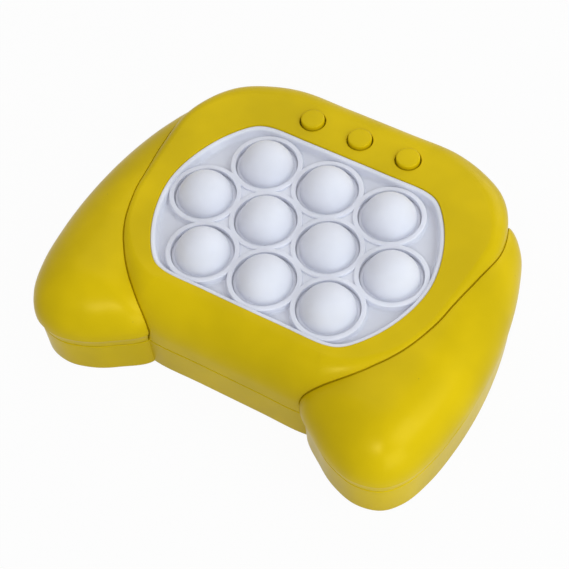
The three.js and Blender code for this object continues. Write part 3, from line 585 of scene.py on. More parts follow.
class Graph(Tree):
    """The nodes of one material, with coordinates in millimetres."""

    def __init__(self, name: str) -> None:
        """Starts a material of a name, with its shader and the object's coordinates."""
        self.material = bpy.data.materials.new(name)
        super().__init__(self.material)
        self.shader = self.nodes["Principled BSDF"]
        coordinates = self.node("ShaderNodeTexCoord").outputs["Object"]
        scaled = self.node("ShaderNodeVectorMath", {"operation": "SCALE"}, {0: coordinates, "Scale": 1 / MM})
        self.place = scaled.outputs["Vector"]

    def blend(self, factor: Signal, first: object, second: object) -> bpy.types.NodeSocket:
        """Mixes two colours by a factor and gives the colour socket."""
        sockets = {0: factor, 6: first, 7: second}
        return self.node("ShaderNodeMix", {"data_type": "RGBA"}, sockets).outputs[2]

    def noise(self, size: float, seed: float, detail: float = 2.0, stretch: Sequence[float] = (1, 1, 1)) -> Signal:
        """Gives clouds between 0 and 1.

        Args:
            size: Size of a cloud in millimetres.
            seed: Chooses the pattern.
            detail: How much finer noise is added.
            stretch: How many times closer the clouds lie along each axis.

        Returns:
            The clouds.
        """
        place = self.node("ShaderNodeVectorMath", {"operation": "MULTIPLY"}, {0: self.place, 1: tuple(stretch)})
        sockets = {"Vector": place.outputs["Vector"], "W": seed, "Scale": 1 / size, "Detail": detail}
        return Signal(self, self.node("ShaderNodeTexNoise", {"noise_dimensions": "4D"}, sockets).outputs[0])

    def specks(self, spacing: float, radius: float, share: float) -> Signal:
        """Scatters small round specks.

        Space is split into cells of a spacing, and a share of the cells has a speck at its middle point.

        Args:
            spacing: Distance between cells in millimetres.
            radius: Radius of a speck in millimetres.
            share: Share of the cells with a speck, from 0 to 1.

        Returns:
            1 in a speck and 0 elsewhere.
        """
        node = self.node("ShaderNodeTexVoronoi", None, {"Vector": self.place, "Scale": 1 / spacing})
        colour = self.node("ShaderNodeSeparateColor", None, {0: node.outputs["Color"]})
        chosen = Signal(self, colour.outputs[0]).rise(1 - share, 1 - share * 0.8)
        distance = Signal(self, node.outputs["Distance"])
        return distance.rise(radius / spacing, 0.5 * radius / spacing) * chosen

    def along(self, axis: str) -> Signal:
        """Gives the coordinate along an axis in millimetres."""
        return Signal(self, self.node("ShaderNodeSeparateXYZ", None, {0: self.place}).outputs[axis])

    def bump(self, height: Signal, depth: float) -> None:
        """Feeds the shader's normal with a relief whose full height is a depth in millimetres."""
        node = self.node("ShaderNodeBump", None, {"Height": height, "Distance": depth * MM, "Strength": 1.0})
        self.feed(self.shader.inputs["Normal"], node.outputs["Normal"])

    def set(self, **values: object) -> None:
        """Sets or links inputs of the shader, with an underscore for each blank in a name."""
        for name, value in values.items():
            self.feed(self.shader.inputs[name.replace("_", " ")], value)


def opaque(colour: Colour, factor: float = 1.0) -> tuple[float, float, float, float]:
    """Turns a colour as it looks on a screen, times a factor, into the linear one with alpha of a socket."""
    screen = [min(1.0, value * factor) for value in colour]
    return (*(value / 12.92 if value <= 0.04045 else ((value + 0.055) / 1.055) ** 2.4 for value in screen), 1.0)


@dataclass(frozen=True)
class Moulding:
    """Finish of a moulded plastic, rubber or silicone piece, with its sizes in millimetres."""

    name: str
    slot: str
    colour: Colour
    roughness: float
    clouding: float = 0.04
    cloud_size: float = 28.0
    grain_size: float = 0.45
    grain_depth: float = 0.012
    dust: Colour = (0.35, 0.3, 0.2)
    dust_share: float = 0.05
    dust_radius: float = 0.22
    dust_spacing: float = 3.5
    scuffing: float = 0.08
    scuff_size: float = 9.0
    hair_size: float = 2.2
    hair_width: float = 0.012
    hair_patches: float = 14.0
    sheen: float = 0.0
    pearl: float = 0.0
    scatter: float = 0.0
    scatter_depth: float = 1.5
    scatter_tint: Colour = (1.0, 0.97, 0.94)
    specular: float = 0.5
    # Levels between which painted shade darkens the colour of sunk floors, and the factor of the darkest shade.
    hollow: tuple[float, float] | None = None
    hollow_painted_shade: float = 0.85
    seed: float = 1.0

    def material(self) -> bpy.types.Material:
        """Makes the material: clouded colour, dust specks, scuffed gloss and a fine moulded grain.

        Between the two levels of a hollow the colour falls off towards the sunk floor, as painted shade in the
        recesses.
        Pearl is the share of light that the pigment itself mirrors, and scatter the share that enters.

        Returns:
            The material.
        """
        graph = Graph(self.name)
        clouds = graph.noise(self.cloud_size, self.seed, 3.0).rise(0.3, 0.7)
        colour = graph.blend(clouds, opaque(self.colour, 1 - self.clouding), opaque(self.colour, 1 + self.clouding))
        # Painted shade: below the hollow's levels the colour is darkened, where the sunk floor lies in shade.
        if self.hollow:
            colour = graph.blend(graph.along("Z").rise(*self.hollow), colour, opaque(self.colour, self.hollow_painted_shade))
        dust = graph.specks(self.dust_spacing, self.dust_radius, self.dust_share) * 0.45
        colour = graph.blend(dust, colour, opaque(self.dust))
        scuffs = graph.noise(self.scuff_size, self.seed + 3, 4.0, (1, 3, 1)).rise(0.35, 0.75)
        lines = graph.noise(self.hair_size, self.seed + 5, 1.0, (0.12, 1, 1)) - 0.5
        patches = graph.noise(self.hair_patches, self.seed + 7).rise(0.55, 0.65)
        hairs = lines.absolute().rise(self.hair_width, 0.0) * patches
        rough = self.roughness + (scuffs - 0.5) * self.scuffing + hairs * 0.1 + dust * 0.3
        graph.bump(graph.noise(self.grain_size, self.seed + 9, 2.0) - hairs * 0.4, self.grain_depth)
        graph.set(Base_Color=colour, Roughness=rough, Metallic=self.pearl, Specular_IOR_Level=self.specular)
        graph.set(Sheen_Weight=self.sheen, Subsurface_Weight=self.scatter, Subsurface_Scale=self.scatter_depth * MM)
        graph.set(Subsurface_Radius=self.scatter_tint)
        return graph.material


@dataclass(frozen=True)
class Metal:
    """Finish of a metal piece, with brushing or plating marks and a little tarnish."""

    name: str
    slot: str
    colour: Colour
    roughness: float
    brushing: Sequence[float] = (1, 1, 1)
    mark_size: float = 0.5
    mark_depth: float = 0.01
    tarnish: float = 0.12
    tarnish_size: float = 2.5
    seed: float = 1.0

    def material(self) -> bpy.types.Material:
        """Makes the material: tarnish in the colour, and marks in the gloss and the relief.

        Returns:
            The material.
        """
        graph = Graph(self.name)
        tarnish = graph.noise(self.tarnish_size, self.seed, 4.0).rise(0.4, 0.75)
        colour = graph.blend(tarnish, opaque(self.colour), opaque(self.colour, 1 - 2 * self.tarnish))
        marks = graph.noise(self.mark_size, self.seed + 2, 3.0, self.brushing)
        graph.bump(marks, self.mark_depth)
        graph.set(Base_Color=colour, Roughness=self.roughness + (marks - 0.5) * 0.25 + tarnish * 0.1, Metallic=1.0)
        return graph.material


@dataclass(frozen=True)
class SolderMask:
    """Finish of the printed board: green mask over copper tracks, with tinned pads."""

    name: str = "green_board"
    slot: str = "green_board"
    mask: Colour = (0.07, 0.34, 0.16)
    over_copper: Colour = (0.13, 0.45, 0.2)
    tin: Colour = (0.75, 0.75, 0.73)
    track_field: float = 14.0
    track_pitch: float = 5.0
    pad_spacing: float = 3.0
    pad_radius: float = 0.7
    pad_share: float = 0.3
    relief: float = 0.04

    def material(self) -> bpy.types.Material:
        """Makes the material: tracks follow the level lines of a slow noise, and pads are scattered.

        Returns:
            The material.
        """
        graph = Graph(self.name)
        field = graph.noise(self.track_field, 21.0, 0.0) * self.track_pitch
        tracks = graph.maths("PINGPONG", field, 0.5).rise(0.28, 0.32)
        pads = graph.specks(self.pad_spacing, self.pad_radius, self.pad_share)
        colour = graph.blend(tracks, opaque(self.mask), opaque(self.over_copper))
        graph.bump(tracks * 0.5 + pads, self.relief)
        colour = graph.blend(pads, colour, opaque(self.tin))
        graph.set(Base_Color=colour, Roughness=0.34 - pads * 0.1, Metallic=pads * 0.9)
        return graph.material


@dataclass(frozen=True)
class BatteryJacket:
    """Finish of a battery: a printed jacket with a band at each end, over a bare steel end."""

    name: str = "battery_jacket"
    slot: str = "battery_jacket"
    main: Colour = (0.1, 0.26, 0.55)
    band: Colour = (0.8, 0.8, 0.82)
    steel: Colour = (0.75, 0.75, 0.74)
    band_start: float = 12.0
    end_start: float = 21.6
    fine_size: float = 1.5
    fine_depth: float = 0.01

    def material(self) -> bpy.types.Material:
        """Makes the material: colour by the distance from the middle of the battery's length.

        Returns:
            The material.
        """
        graph = Graph(self.name)
        distance = graph.along("X").absolute()
        band = distance.rise(self.band_start, self.band_start + 0.1)
        end = distance.rise(self.end_start, self.end_start + 0.2)
        colour = graph.blend(band, opaque(self.main), opaque(self.band))
        fine = graph.noise(self.fine_size, 31.0, 3.0)
        graph.bump(fine, self.fine_depth)
        colour = graph.blend(end, colour, opaque(self.steel))
        graph.set(Base_Color=colour, Roughness=0.22 + fine * 0.12, Metallic=0.35 + end * 0.6)
        return graph.material


# Finishes, one for each of the record's slots

Finish = Moulding | Metal | SolderMask | BatteryJacket
YELLOW = Moulding(
    "satin_yellow", "yellow_plastic", (0.785, 0.682, 0.03), 0.3, scuffing=0.04, specular=0.06, pearl=0.03,
)
# The hollow levels and hollow_painted_shade paint shade onto the panel's sunk floor between the rings and the lip.
SILICONE = Moulding(
    "soft_white_silicone", "white_silicone", (0.838, 0.848, 0.892), 0.68, clouding=0.015, cloud_size=16.0,
    grain_size=0.3, grain_depth=0.008, dust=(0.45, 0.44, 0.42), dust_share=0.06, dust_radius=0.16, sheen=0.1,
    scatter=0.4, specular=0.25, hollow=(33.0, 32.4), hollow_painted_shade=0.96, seed=2.0,
)
RUBBER = Moulding("pale_rubber", "soft_rubber", (0.85, 0.83, 0.8), 0.65, dust_share=0.02, seed=3.0)
NATURAL = Moulding("natural_plastic", "natural_plastic", (0.9, 0.89, 0.87), 0.48, dust_share=0.02, seed=4.0)
RESIN = Moulding("poured_resin", "black_resin", (0.05, 0.05, 0.055), 0.22, grain_depth=0.03, grain_size=2.0, seed=5.0)
LAMP = Moulding("lamp_body", "lamp_white", (0.95, 0.94, 0.85), 0.25, dust_share=0.0, seed=6.0)
CONE = Moulding("speaker_film", "cone_film", (0.2, 0.2, 0.22), 0.5, grain_size=1.2, grain_depth=0.03, seed=7.0)
RED_WIRE = Moulding("red_insulation", "red_wire", (0.7, 0.09, 0.1), 0.38, dust_share=0.0, seed=8.0)
BLACK_WIRE = Moulding("black_insulation", "black_wire", (0.09, 0.09, 0.1), 0.38, dust_share=0.0, seed=9.0)
SCREW_STEEL = Metal("plated_steel", "screw_steel", (0.72, 0.73, 0.75), 0.3, seed=10.0)
SPEAKER_STEEL = Metal("pressed_steel", "speaker_steel", (0.64, 0.65, 0.67), 0.35, (1, 4, 1), seed=11.0)
CONTACT_STEEL = Metal("nickel_spring", "contact_steel", (0.8, 0.79, 0.76), 0.2, tarnish=0.06, seed=12.0)
BOARD_GREEN = SolderMask()
JACKET = BatteryJacket()


# Finishing of pieces

class Bench:
    """Turns bodies into finished pieces, and dresses the CAD nodes that stay."""

    def __init__(self) -> None:
        """Starts with no materials made, and reads which body each node belongs to."""
        self.materials: dict[str, bpy.types.Material] = {}
        self.bodies = {node: body for body, nodes in frame["record"]["behaviour"]["bodies"].items() for node in nodes}

    def material(self, finish: Finish) -> bpy.types.Material:
        """Makes the material of a finish once, and gives it again after that.

        Args:
            finish: The finish.

        Returns:
            Its material.
        """
        if finish.name not in self.materials:
            self.materials[finish.name] = finish.material()
        return self.materials[finish.name]

    def shape(self, name: str, solid: Solid, finish: Finish, sharp: float) -> bpy.types.Object:
        """Makes an object of a body and finishes its surface.

        Args:
            name: Name of the piece.
            solid: Its body in millimetres.
            finish: Its finish.
            sharp: Angle in degrees above which an edge stays sharp.

        Returns:
            The object, which rides on nothing yet.
        """
        mesh = solid.mesh.copy()
        mesh.name = name
        places = np.empty(len(mesh.vertices) * 3, np.float32)
        mesh.vertices.foreach_get("co", places)
        places = (places.reshape(-1, 3) + PANEL) * MM
        mesh.vertices.foreach_set("co", places.astype(np.float32).ravel())
        mesh.materials.clear()
        mesh.polygons.foreach_set("material_index", np.zeros(len(mesh.polygons), np.int32))
        mesh.shade_smooth()
        mesh.set_sharp_from_angle(angle=math.radians(sharp))
        mesh.materials.append(self.material(finish))
        made = placed(name, mesh)
        made.modifiers.new("even_shading", "WEIGHTED_NORMAL").keep_sharp = True
        LOG.info("%s: %d faces", name, len(mesh.polygons))
        return made

    def piece(self, name: str, solid: Solid, finish: Finish, node: str, sharp: float = 34.0) -> bpy.types.Object:
        """Finishes a body as a piece that stands for a CAD node.

        Args:
            name: Name of the piece.
            solid: Its body in millimetres.
            finish: Its finish.
            node: The CAD node that it replaces and whose body it rides on.
            sharp: Angle in degrees above which an edge stays sharp.

        Returns:
            The finished object.
        """
        made = self.shape(name, solid, finish, sharp)
        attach(made, self.bodies[node])
        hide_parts(node)
        return made

    def dress(self, nodes: Iterable[str], finish: Finish) -> None:
        """Gives CAD nodes that stay in view a finish.

        Args:
            nodes: Names of the nodes.
            finish: Their finish.
        """
        for node in nodes:
            for holder in frame["nodes"][node].material_slots:
                holder.material = self.material(finish)
            LOG.info("%s: %s", node, finish.name)


# The case

@dataclass(frozen=True)
class CaseForm:
    """The case's outer form, with the sizes that the part has."""

    height: float = 35.9
    seam: float = 14.72
    gap: float = 0.3
    wall: float = 2.0
    pod_half_width: float = 59.99
    pod_front: float = 47.2
    pod_back: float = 56.8
    front_run: float = 12.6
    front_fall: float = 16.08
    grip_half_width: float = 74.65
    grip_tip: float = 62.1
    grip_back: float = 40.2
    grip_widest: float = 19.31
    grip_tuck: float = 1.1
    tuck_bend: float = 1.5
    crest_height: float = 35.4
    crest_fall: float = 5.46
    crest_x: float = 54.59
    crest_front: float = -42.54
    crest_back: float = 34.97
    crest_bend: float = -32.29
    swell: float = 2.12
    crest_swell: float = 3.6
    opening_half_width: float = 47.75
    opening_front: float = 33.2
    opening_back: float = 33.8
    opening_samples: int = 8
    seam_edge: float = 0.3
    outer_detail: tuple[int, int] = (9, 18)
    inner_detail: tuple[int, int] = (3, 6)
    halvings: int = 12
    side_view: tuple[float, float] = (-8.0, 10.0)
    crease_spacing: float = 0.7

    def pod_rows(self, samples: int) -> Array:
        """Gives the pod's outline with its edge's run and fall as further columns.

        Args:
            samples: Samples from one row of the table to the next.

        Returns:
            Rows of (across, along, run, fall).
        """
        shares = both_halves([
            (0.192, -1, 1, 1), (0.459, -1, 1, 1), (0.574, -0.966, 0.9, 0.95), (0.727, -0.81, 0.6, 0.68),
            (0.88, -0.537, 0.4, 0.42), (0.958, -0.244, 0.36, 0.34), (0.98, 0, 0.36, 0.34),
            (0.996, 0.223, 0.36, 0.34), (1, 0.466, 0.38, 0.36), (0.938, 0.68, 0.55, 0.41),
            (0.838, 0.836, 0.69, 0.52), (0.683, 0.938, 0.75, 0.58), (0.488, 0.996, 0.75, 0.58),
            (0.192, 1, 0.75, 0.58),
        ])
        sizes = (self.pod_half_width, self.pod_front, self.pod_back, self.front_run, self.front_fall)
        return closed_curve(sized(shares, *sizes), samples)

    def grip_rows(self, samples: int) -> Array:
        """Gives the right grip's outline, from its tip and anticlockwise.

        Args:
            samples: Samples from one row of the table to the next.

        Returns:
            Rows of (across, along).
        """
        shares = np.array([
            (0.725, -1), (0.843, -0.965), (0.918, -0.865), (0.967, -0.694), (0.993, -0.481), (1, -0.259),
            (0.988, -0.038), (0.956, 0.294), (0.909, 0.604), (0.848, 0.863), (0.764, 1), (0.672, 0.846),
            (0.611, 0.598), (0.571, 0.296), (0.521, -0.04), (0.461, -0.26), (0.401, -0.5), (0.369, -0.756),
            (0.498, -0.893), (0.599, -0.963),
        ])
        return closed_curve(sized(shares, self.grip_half_width, self.grip_tip, self.grip_back), samples)

    def opening(self) -> Array:
        """Gives the outline of the panel's opening.

        Returns:
            Rows of (across, along).
        """
        shares = both_halves([
            (0.3, -1), (0.62, -0.99), (0.72, -0.93), (0.86, -0.68), (0.96, -0.35), (1, 0), (0.96, 0.35), (0.86, 0.68),
            (0.72, 0.93), (0.62, 0.99), (0.3, 1),
        ])
        sizes = (self.opening_half_width, self.opening_front, self.opening_back)
        return closed_curve(sized(shares, *sizes), self.opening_samples)

    def foot(self, edge: float, low: float, extra: float) -> Array:
        """Gives (inset, height) pairs that round a wall's lower edge from a level up."""
        return arc((extra + edge, low + edge), edge, 270, 180, 4) if edge else np.array([(extra, low)])

    def detail(self, skin: float) -> tuple[int, int]:
        """Gives the samples per row and the edge steps, fewer of both on the inside."""
        return self.inner_detail if skin else self.outer_detail

    def pod(self, skin: float, low: float, edge: float) -> Solid:
        """Makes the pod, or the same form a skin's thickness further in.

        The wall rises from a level, and the edge is a quarter ellipse whose half axes, less the skin, are
        the run and the fall at that place of the outline.

        Args:
            skin: How far inside the outer form.
            low: Level of its foot.
            edge: Rounding of its foot.

        Returns:
            The closed form.
        """
        samples, steps = self.detail(skin)
        rows = self.pod_rows(samples)
        run, fall = rows[:, 2], rows[:, 3]
        layers = list(stacked(rows, self.foot(edge, low, skin)))
        for angle in np.linspace(0, QUARTER, steps + 1):
            ring = inset(rows, skin + (run - skin) * (1 - math.cos(angle)))
            height = self.height - skin - (fall - skin) * (1 - math.sin(angle))
            layers.append(np.column_stack([ring, height]))
        return Solid.skinned(np.stack(layers))

    def grip_rings(self, skin: float, low: float, edge: float = 0.0) -> Array:
        """Gives the rings of the right grip, or of the same form a skin's thickness further in.

        From the widest line each point moves towards the crest point that it shares with the point facing
        it, with a height of (1 - (1 - share)^n)^(1/n) of the way, which is a superellipse.

        Args:
            skin: How far inside the outer form.
            low: Level of its foot.
            edge: Rounding of its foot.

        Returns:
            Rings of shape (levels, points, 3).
        """
        samples, steps = self.detail(skin)
        rows = self.grip_rows(samples)
        layers = list(stacked(rows, self.foot(edge, low, skin + self.grip_tuck)))
        turn = np.linspace(0, QUARTER, max(3, steps // 3) + 1)
        for angle in turn[:-1]:
            height = self.seam + self.gap + edge + (self.grip_widest - self.seam - self.gap - edge) * math.sin(angle)
            layers.append(stacked(rows, [(skin + self.grip_tuck * math.cos(angle) ** self.tuck_bend, height)])[0])
        widest = inset(rows, skin)
        facing = np.roll(widest[::-1], 1, axis=0)
        crest_y = np.clip((widest[:, 1] + facing[:, 1]) / 2, self.crest_front, self.crest_back)
        fall_share = np.clip((crest_y - self.crest_bend) / (self.crest_back - self.crest_bend), 0, None)
        crest_z = self.crest_height - skin - self.crest_fall * fall_share ** self.crest_swell
        crest = np.column_stack([np.full(len(widest), self.crest_x), crest_y])
        for angle in np.linspace(0, QUARTER, steps + 1):
            share = 1 - math.cos(angle)
            rise = (1 - (1 - share) ** self.swell) ** (1 / self.swell)
            height = self.grip_widest + (crest_z - self.grip_widest) * rise
            layers.append(np.column_stack([widest + (crest - widest) * share, height]))
        return np.stack(layers)

    def upper(self, skin: float, low: float, edge: float = 0.0) -> Solid:
        """Joins the pod and both grips above a level."""
        grip = Solid.skinned(self.grip_rings(skin, low, edge), Ends.FOOT_ONLY)
        return self.pod(skin, low, edge) + grip + grip.mirrored()

    def lower(self, levels: Rows, samples: int) -> Solid:
        """Joins the plan's straight or leaning walls, from (inset, height) pairs.

        Args:
            levels: The pairs for the pod, from which the grips' are set in by their tuck.
            samples: Samples per row of the outlines.

        Returns:
            The closed form.
        """
        tucked = [(distance + self.grip_tuck, height) for distance, height in levels]
        grip = Solid.skinned(stacked(self.grip_rows(samples), tucked))
        return Solid.skinned(stacked(self.pod_rows(samples), levels)) + grip + grip.mirrored()

    def pod_reach(self, points: Array) -> Array:
        """Tells how far points lie inside the pod.

        With d the distance in from the outline and h the height above the foot of the edge, the value is
        (1 - d / run)^2 + (h / fall)^2 - 1, with both brackets kept from going below 0.

        Args:
            points: Points of shape (points, 3).

        Returns:
            A value below 0 inside, and above 0 outside.
        """
        rows = self.pod_rows(self.outer_detail[0])
        offsets = points[:, None, :2] - rows[None, :, :2]
        nearest = np.argmin(np.sum(offsets ** 2, axis=-1), axis=1)
        offset = offsets[np.arange(len(points)), nearest]
        depth = np.sum(offset * inward(rows)[nearest], axis=-1)
        run, fall = rows[nearest, 2], rows[nearest, 3]
        across = np.clip(1 - depth / run, 0, None)
        up = np.clip((points[:, 2] - self.height + fall) / fall, 0, None)
        return across ** 2 + up ** 2 - 1

    def crease(self) -> Array:
        """Finds the line where the right grip meets the pod.

        The grip's rings are read as arches from its outer foot over the crest to its inner foot. The line
        runs where the pod's reach changes sign between neighbours along or across the arches. The place of
        each change is halved in until it is exact, and the points are put in the order in which they pass a
        place inside the case, seen from the side.

        Returns:
            Evenly spaced points from the front of the seam to its back.
        """
        rings = self.grip_rings(0, self.seam + self.gap)
        half = rings.shape[1] // 2
        inner = np.roll(rings[:, ::-1], 1, axis=1)
        arches = np.concatenate([rings[:, :half + 1], inner[::-1][1:, :half + 1]])
        inside = self.pod_reach(arches.reshape(-1, 3)).reshape(arches.shape[:2]) < 0
        across, along = inside[:-1] != inside[1:], inside[:, :-1] != inside[:, 1:]
        start = np.concatenate([arches[:-1][across], arches[:, :-1][along]])
        end = np.concatenate([arches[1:][across], arches[:, 1:][along]])
        started_inside = np.concatenate([inside[:-1][across], inside[:, :-1][along]])
        for _ in range(self.halvings):
            middle = (start + end) / 2
            keeps = ((self.pod_reach(middle) < 0) == started_inside)[:, None]
            start, end = np.where(keeps, middle, start), np.where(keeps, end, middle)
        line = (start + end) / 2
        view = np.arctan2(line[:, 2] - self.side_view[1], line[:, 1] - self.side_view[0])
        return even_line(line[np.argsort(-view)], self.crease_spacing)

    def valley(self, points: Array) -> Array:
        """Gives the way out of the groove at points of the crease.

        It lies half way between the slope of the pod's reach and the direction from the grip's core, which
        runs below the crest.

        Args:
            points: Points of shape (points, 3).

        Returns:
            Directions of the same shape.
        """
        slope = [self.pod_reach(points + step) - self.pod_reach(points - step) for step in np.eye(3)]
        core = np.tile((self.crest_x, 0.0, self.seam), (len(points), 1))
        core[:, 1] = np.clip(points[:, 1], self.crest_front, self.crest_back)
        ways = (np.stack(slope, axis=1), points - core)
        return sum(way / np.linalg.norm(way, axis=1, keepdims=True) for way in ways)


@dataclass(frozen=True)
class Shells:
    """The two shells of the case."""

    form: CaseForm = CaseForm()
    overrun: float = 1.0
    crease_depth: float = 0.95
    crease_half_width: float = 0.3
    crease_run_out: float = 3.0
    opening_edge: float = 0.35
    hole_radius: float = 4.42
    hole_edge: float = 0.25
    flange_pocket: float = 5.8
    collar_wall: float = 1.0
    screw_bore: float = 1.6
    boss_wall: float = 1.7
    panel_boss: float = 3.0
    head_bore: float = 3.0
    head_chamfer: float = 0.35
    screw_seat: float = 9.0
    post_top: float = 12.0
    floor: float = 2.6
    draft: float = 0.4
    rim_draft: float = 0.05
    underside_edge: float = 1.4
    tongue_height: float = 1.5
    tongue_wall: float = 1.0
    box_wall: float = 1.5
    box_roof: float = 1.2
    door_roof: float = 1.5
    boss_bore: float = 2.3
    door_boss_top: float = 11.5
    grille_radius: float = 1.2
    grille_edge: float = 0.3
    grille_pitch: float = 3.6
    grille_rings: int = 2
    collar_height: float = 3.9
    collar_skin: float = 1.2
    outer_samples: int = 9
    inner_samples: int = 4

    def upper(self) -> Solid:
        """Makes the upper shell with its opening, holes, bosses and the grooves beside the grips.

        Returns:
            The upper shell.
        """
        form, bore, over = self.form, self.screw_bore, self.overrun
        inside_top, above = form.height - form.wall, form.height + over
        clear = node_span("panel_retainer")[1][2] + form.gap
        line = form.crease()
        ends = line[[0, -1]] - (0, 0, self.crease_run_out)
        path = np.concatenate([ends[:1], line, ends[1:]])
        groove = Solid.tube(path, (self.crease_depth, self.crease_half_width), form.valley(path))
        body = form.upper(0, form.seam + form.gap / 2, form.seam_edge) - groove - groove.mirrored()
        body = body - form.upper(form.wall, form.seam - over)
        rebate = form.wall - self.tongue_wall - form.gap
        top = form.seam + self.tongue_height + form.gap
        body = body - form.lower([(rebate, form.seam - over), (rebate, top)], self.outer_samples)
        buttons = [node_centre(name) for name in BUTTON_NODES]
        low = self.post_top + form.gap
        posts = Solid.gathered([
            Solid.rods(bore + self.boss_wall, low, form.height, centres("shell_screw", 6), 24),
            Solid.rods(self.panel_boss, clear, form.height, centres("board_screw", 4), 24),
            Solid.rods(self.flange_pocket + self.collar_wall, clear, inside_top + over, buttons, 48),
        ])
        body = body + (posts & form.upper(form.wall / 2, 0))
        edge, hole, pocket = self.opening_edge, self.hole_radius + self.hole_edge, self.flange_pocket
        levels = [(0, clear - 2 * over), *arc((-edge, form.height - edge), edge, 0, 90, 5), (-edge, above)]
        profile = [
            (0, 0), (pocket, 0), (pocket, inside_top), (self.hole_radius, inside_top),
            *arc((hole, form.height - self.hole_edge), self.hole_edge, 180, 90, 4), (hole, above), (0, above),
        ]
        holes = [Solid.skinned(stacked(form.opening(), levels)), *(Solid.turned(profile, place) for place in buttons)]
        for node in numbered("shell_screw", 6) + numbered("board_screw", 4):
            holes.append(Solid.rods(bore, 0, node_span(node)[1][2] + form.gap, [node_centre(node)], 24))
        return body - Solid.gathered(holes)

    def grille(self, place: Array) -> Solid:
        """Gives the holes of the loudspeaker's grille, one in the middle and rings of six more each time.

        Args:
            place: Middle of the loudspeaker.

        Returns:
            The holes.
        """
        radius, edge, top = self.grille_radius, self.grille_edge, self.floor + self.overrun
        profile = [(0, -1), (radius + edge, -1), (radius + edge, 0), (radius, edge), (radius, top), (0, top)]
        rings = [circle(ring * self.grille_pitch, max(1, 6 * ring), place) for ring in range(self.grille_rings + 1)]
        return Solid.gathered(Solid.turned(profile, spot, 24) for spot in np.concatenate(rings))

    def lower(self) -> Solid:
        """Makes the lower shell with its posts, battery box, door seat and loudspeaker grille.

        Returns:
            The lower shell.
        """
        form, edge, lean, seam_edge = self.form, self.underside_edge, self.draft, self.form.seam_edge
        rim, low, floor, over = form.seam - form.gap / 2, self.floor / 2, self.floor, self.overrun
        levels = [
            *arc((lean + edge, edge), edge, 270, 180, 6), (self.rim_draft, rim - seam_edge),
            *arc((seam_edge, rim - seam_edge), seam_edge, 180, 90, 4),
        ]
        skin, tongue_top = form.wall - self.tongue_wall, form.seam + self.tongue_height
        tongue = form.lower([(skin, form.seam - form.wall), (skin, tongue_top)], self.outer_samples)
        hollow = [(form.wall + lean, floor), (form.wall, rim), (form.wall, tongue_top + over)]
        body = form.lower(levels, self.outer_samples) + tongue - form.lower(hollow, self.inner_samples)
        screws, speaker = centres("shell_screw", 6), node_centre("speaker_basket")
        bowl, high = (node_span("speaker_basket")[1] - speaker)[0] + form.gap, floor + self.collar_height
        body = body + Solid.gathered([
            Solid.rods(self.head_bore + self.boss_wall, low, self.post_top, screws, 32),
            Solid.rods(bowl + self.collar_skin, low, high, [speaker], 64),
        ])
        box = BatteryBox()
        body = body + box.walls(self) - box.room(self)
        for opening in box.openings(self):
            body = body - opening
        head, chamfer, bore, seat = self.head_bore, self.head_chamfer, self.screw_bore, self.screw_seat
        recess = [
            (0, -1), (head + chamfer, -1), (head + chamfer, 0), (head, chamfer), (head, seat), (bore, seat),
            (bore, self.post_top + over), (0, self.post_top + over),
        ]
        holes = [Solid.turned(recess, place, 40) for place in screws]
        holes.append(Solid.rods(bowl, floor, high + over, [speaker], 64))
        return body - Solid.gathered(holes) - self.grille(speaker)

    def build(self, bench: Bench) -> None:
        """Makes both shells in yellow plastic."""
        bench.piece("case_top", self.upper(), YELLOW, "upper_shell")
        bench.piece("case_base", self.lower(), YELLOW, "lower_shell")


@dataclass(frozen=True)
class BoxFit:
    """Sizes that the battery box shares with its door and its contacts."""

    tab_half_width: float = 1.5
    tongue_half_width: float = 7.0
    tongue_thickness: float = 3.0
    plate_thickness: float = 0.4
    tail_half_width: float = 1.0


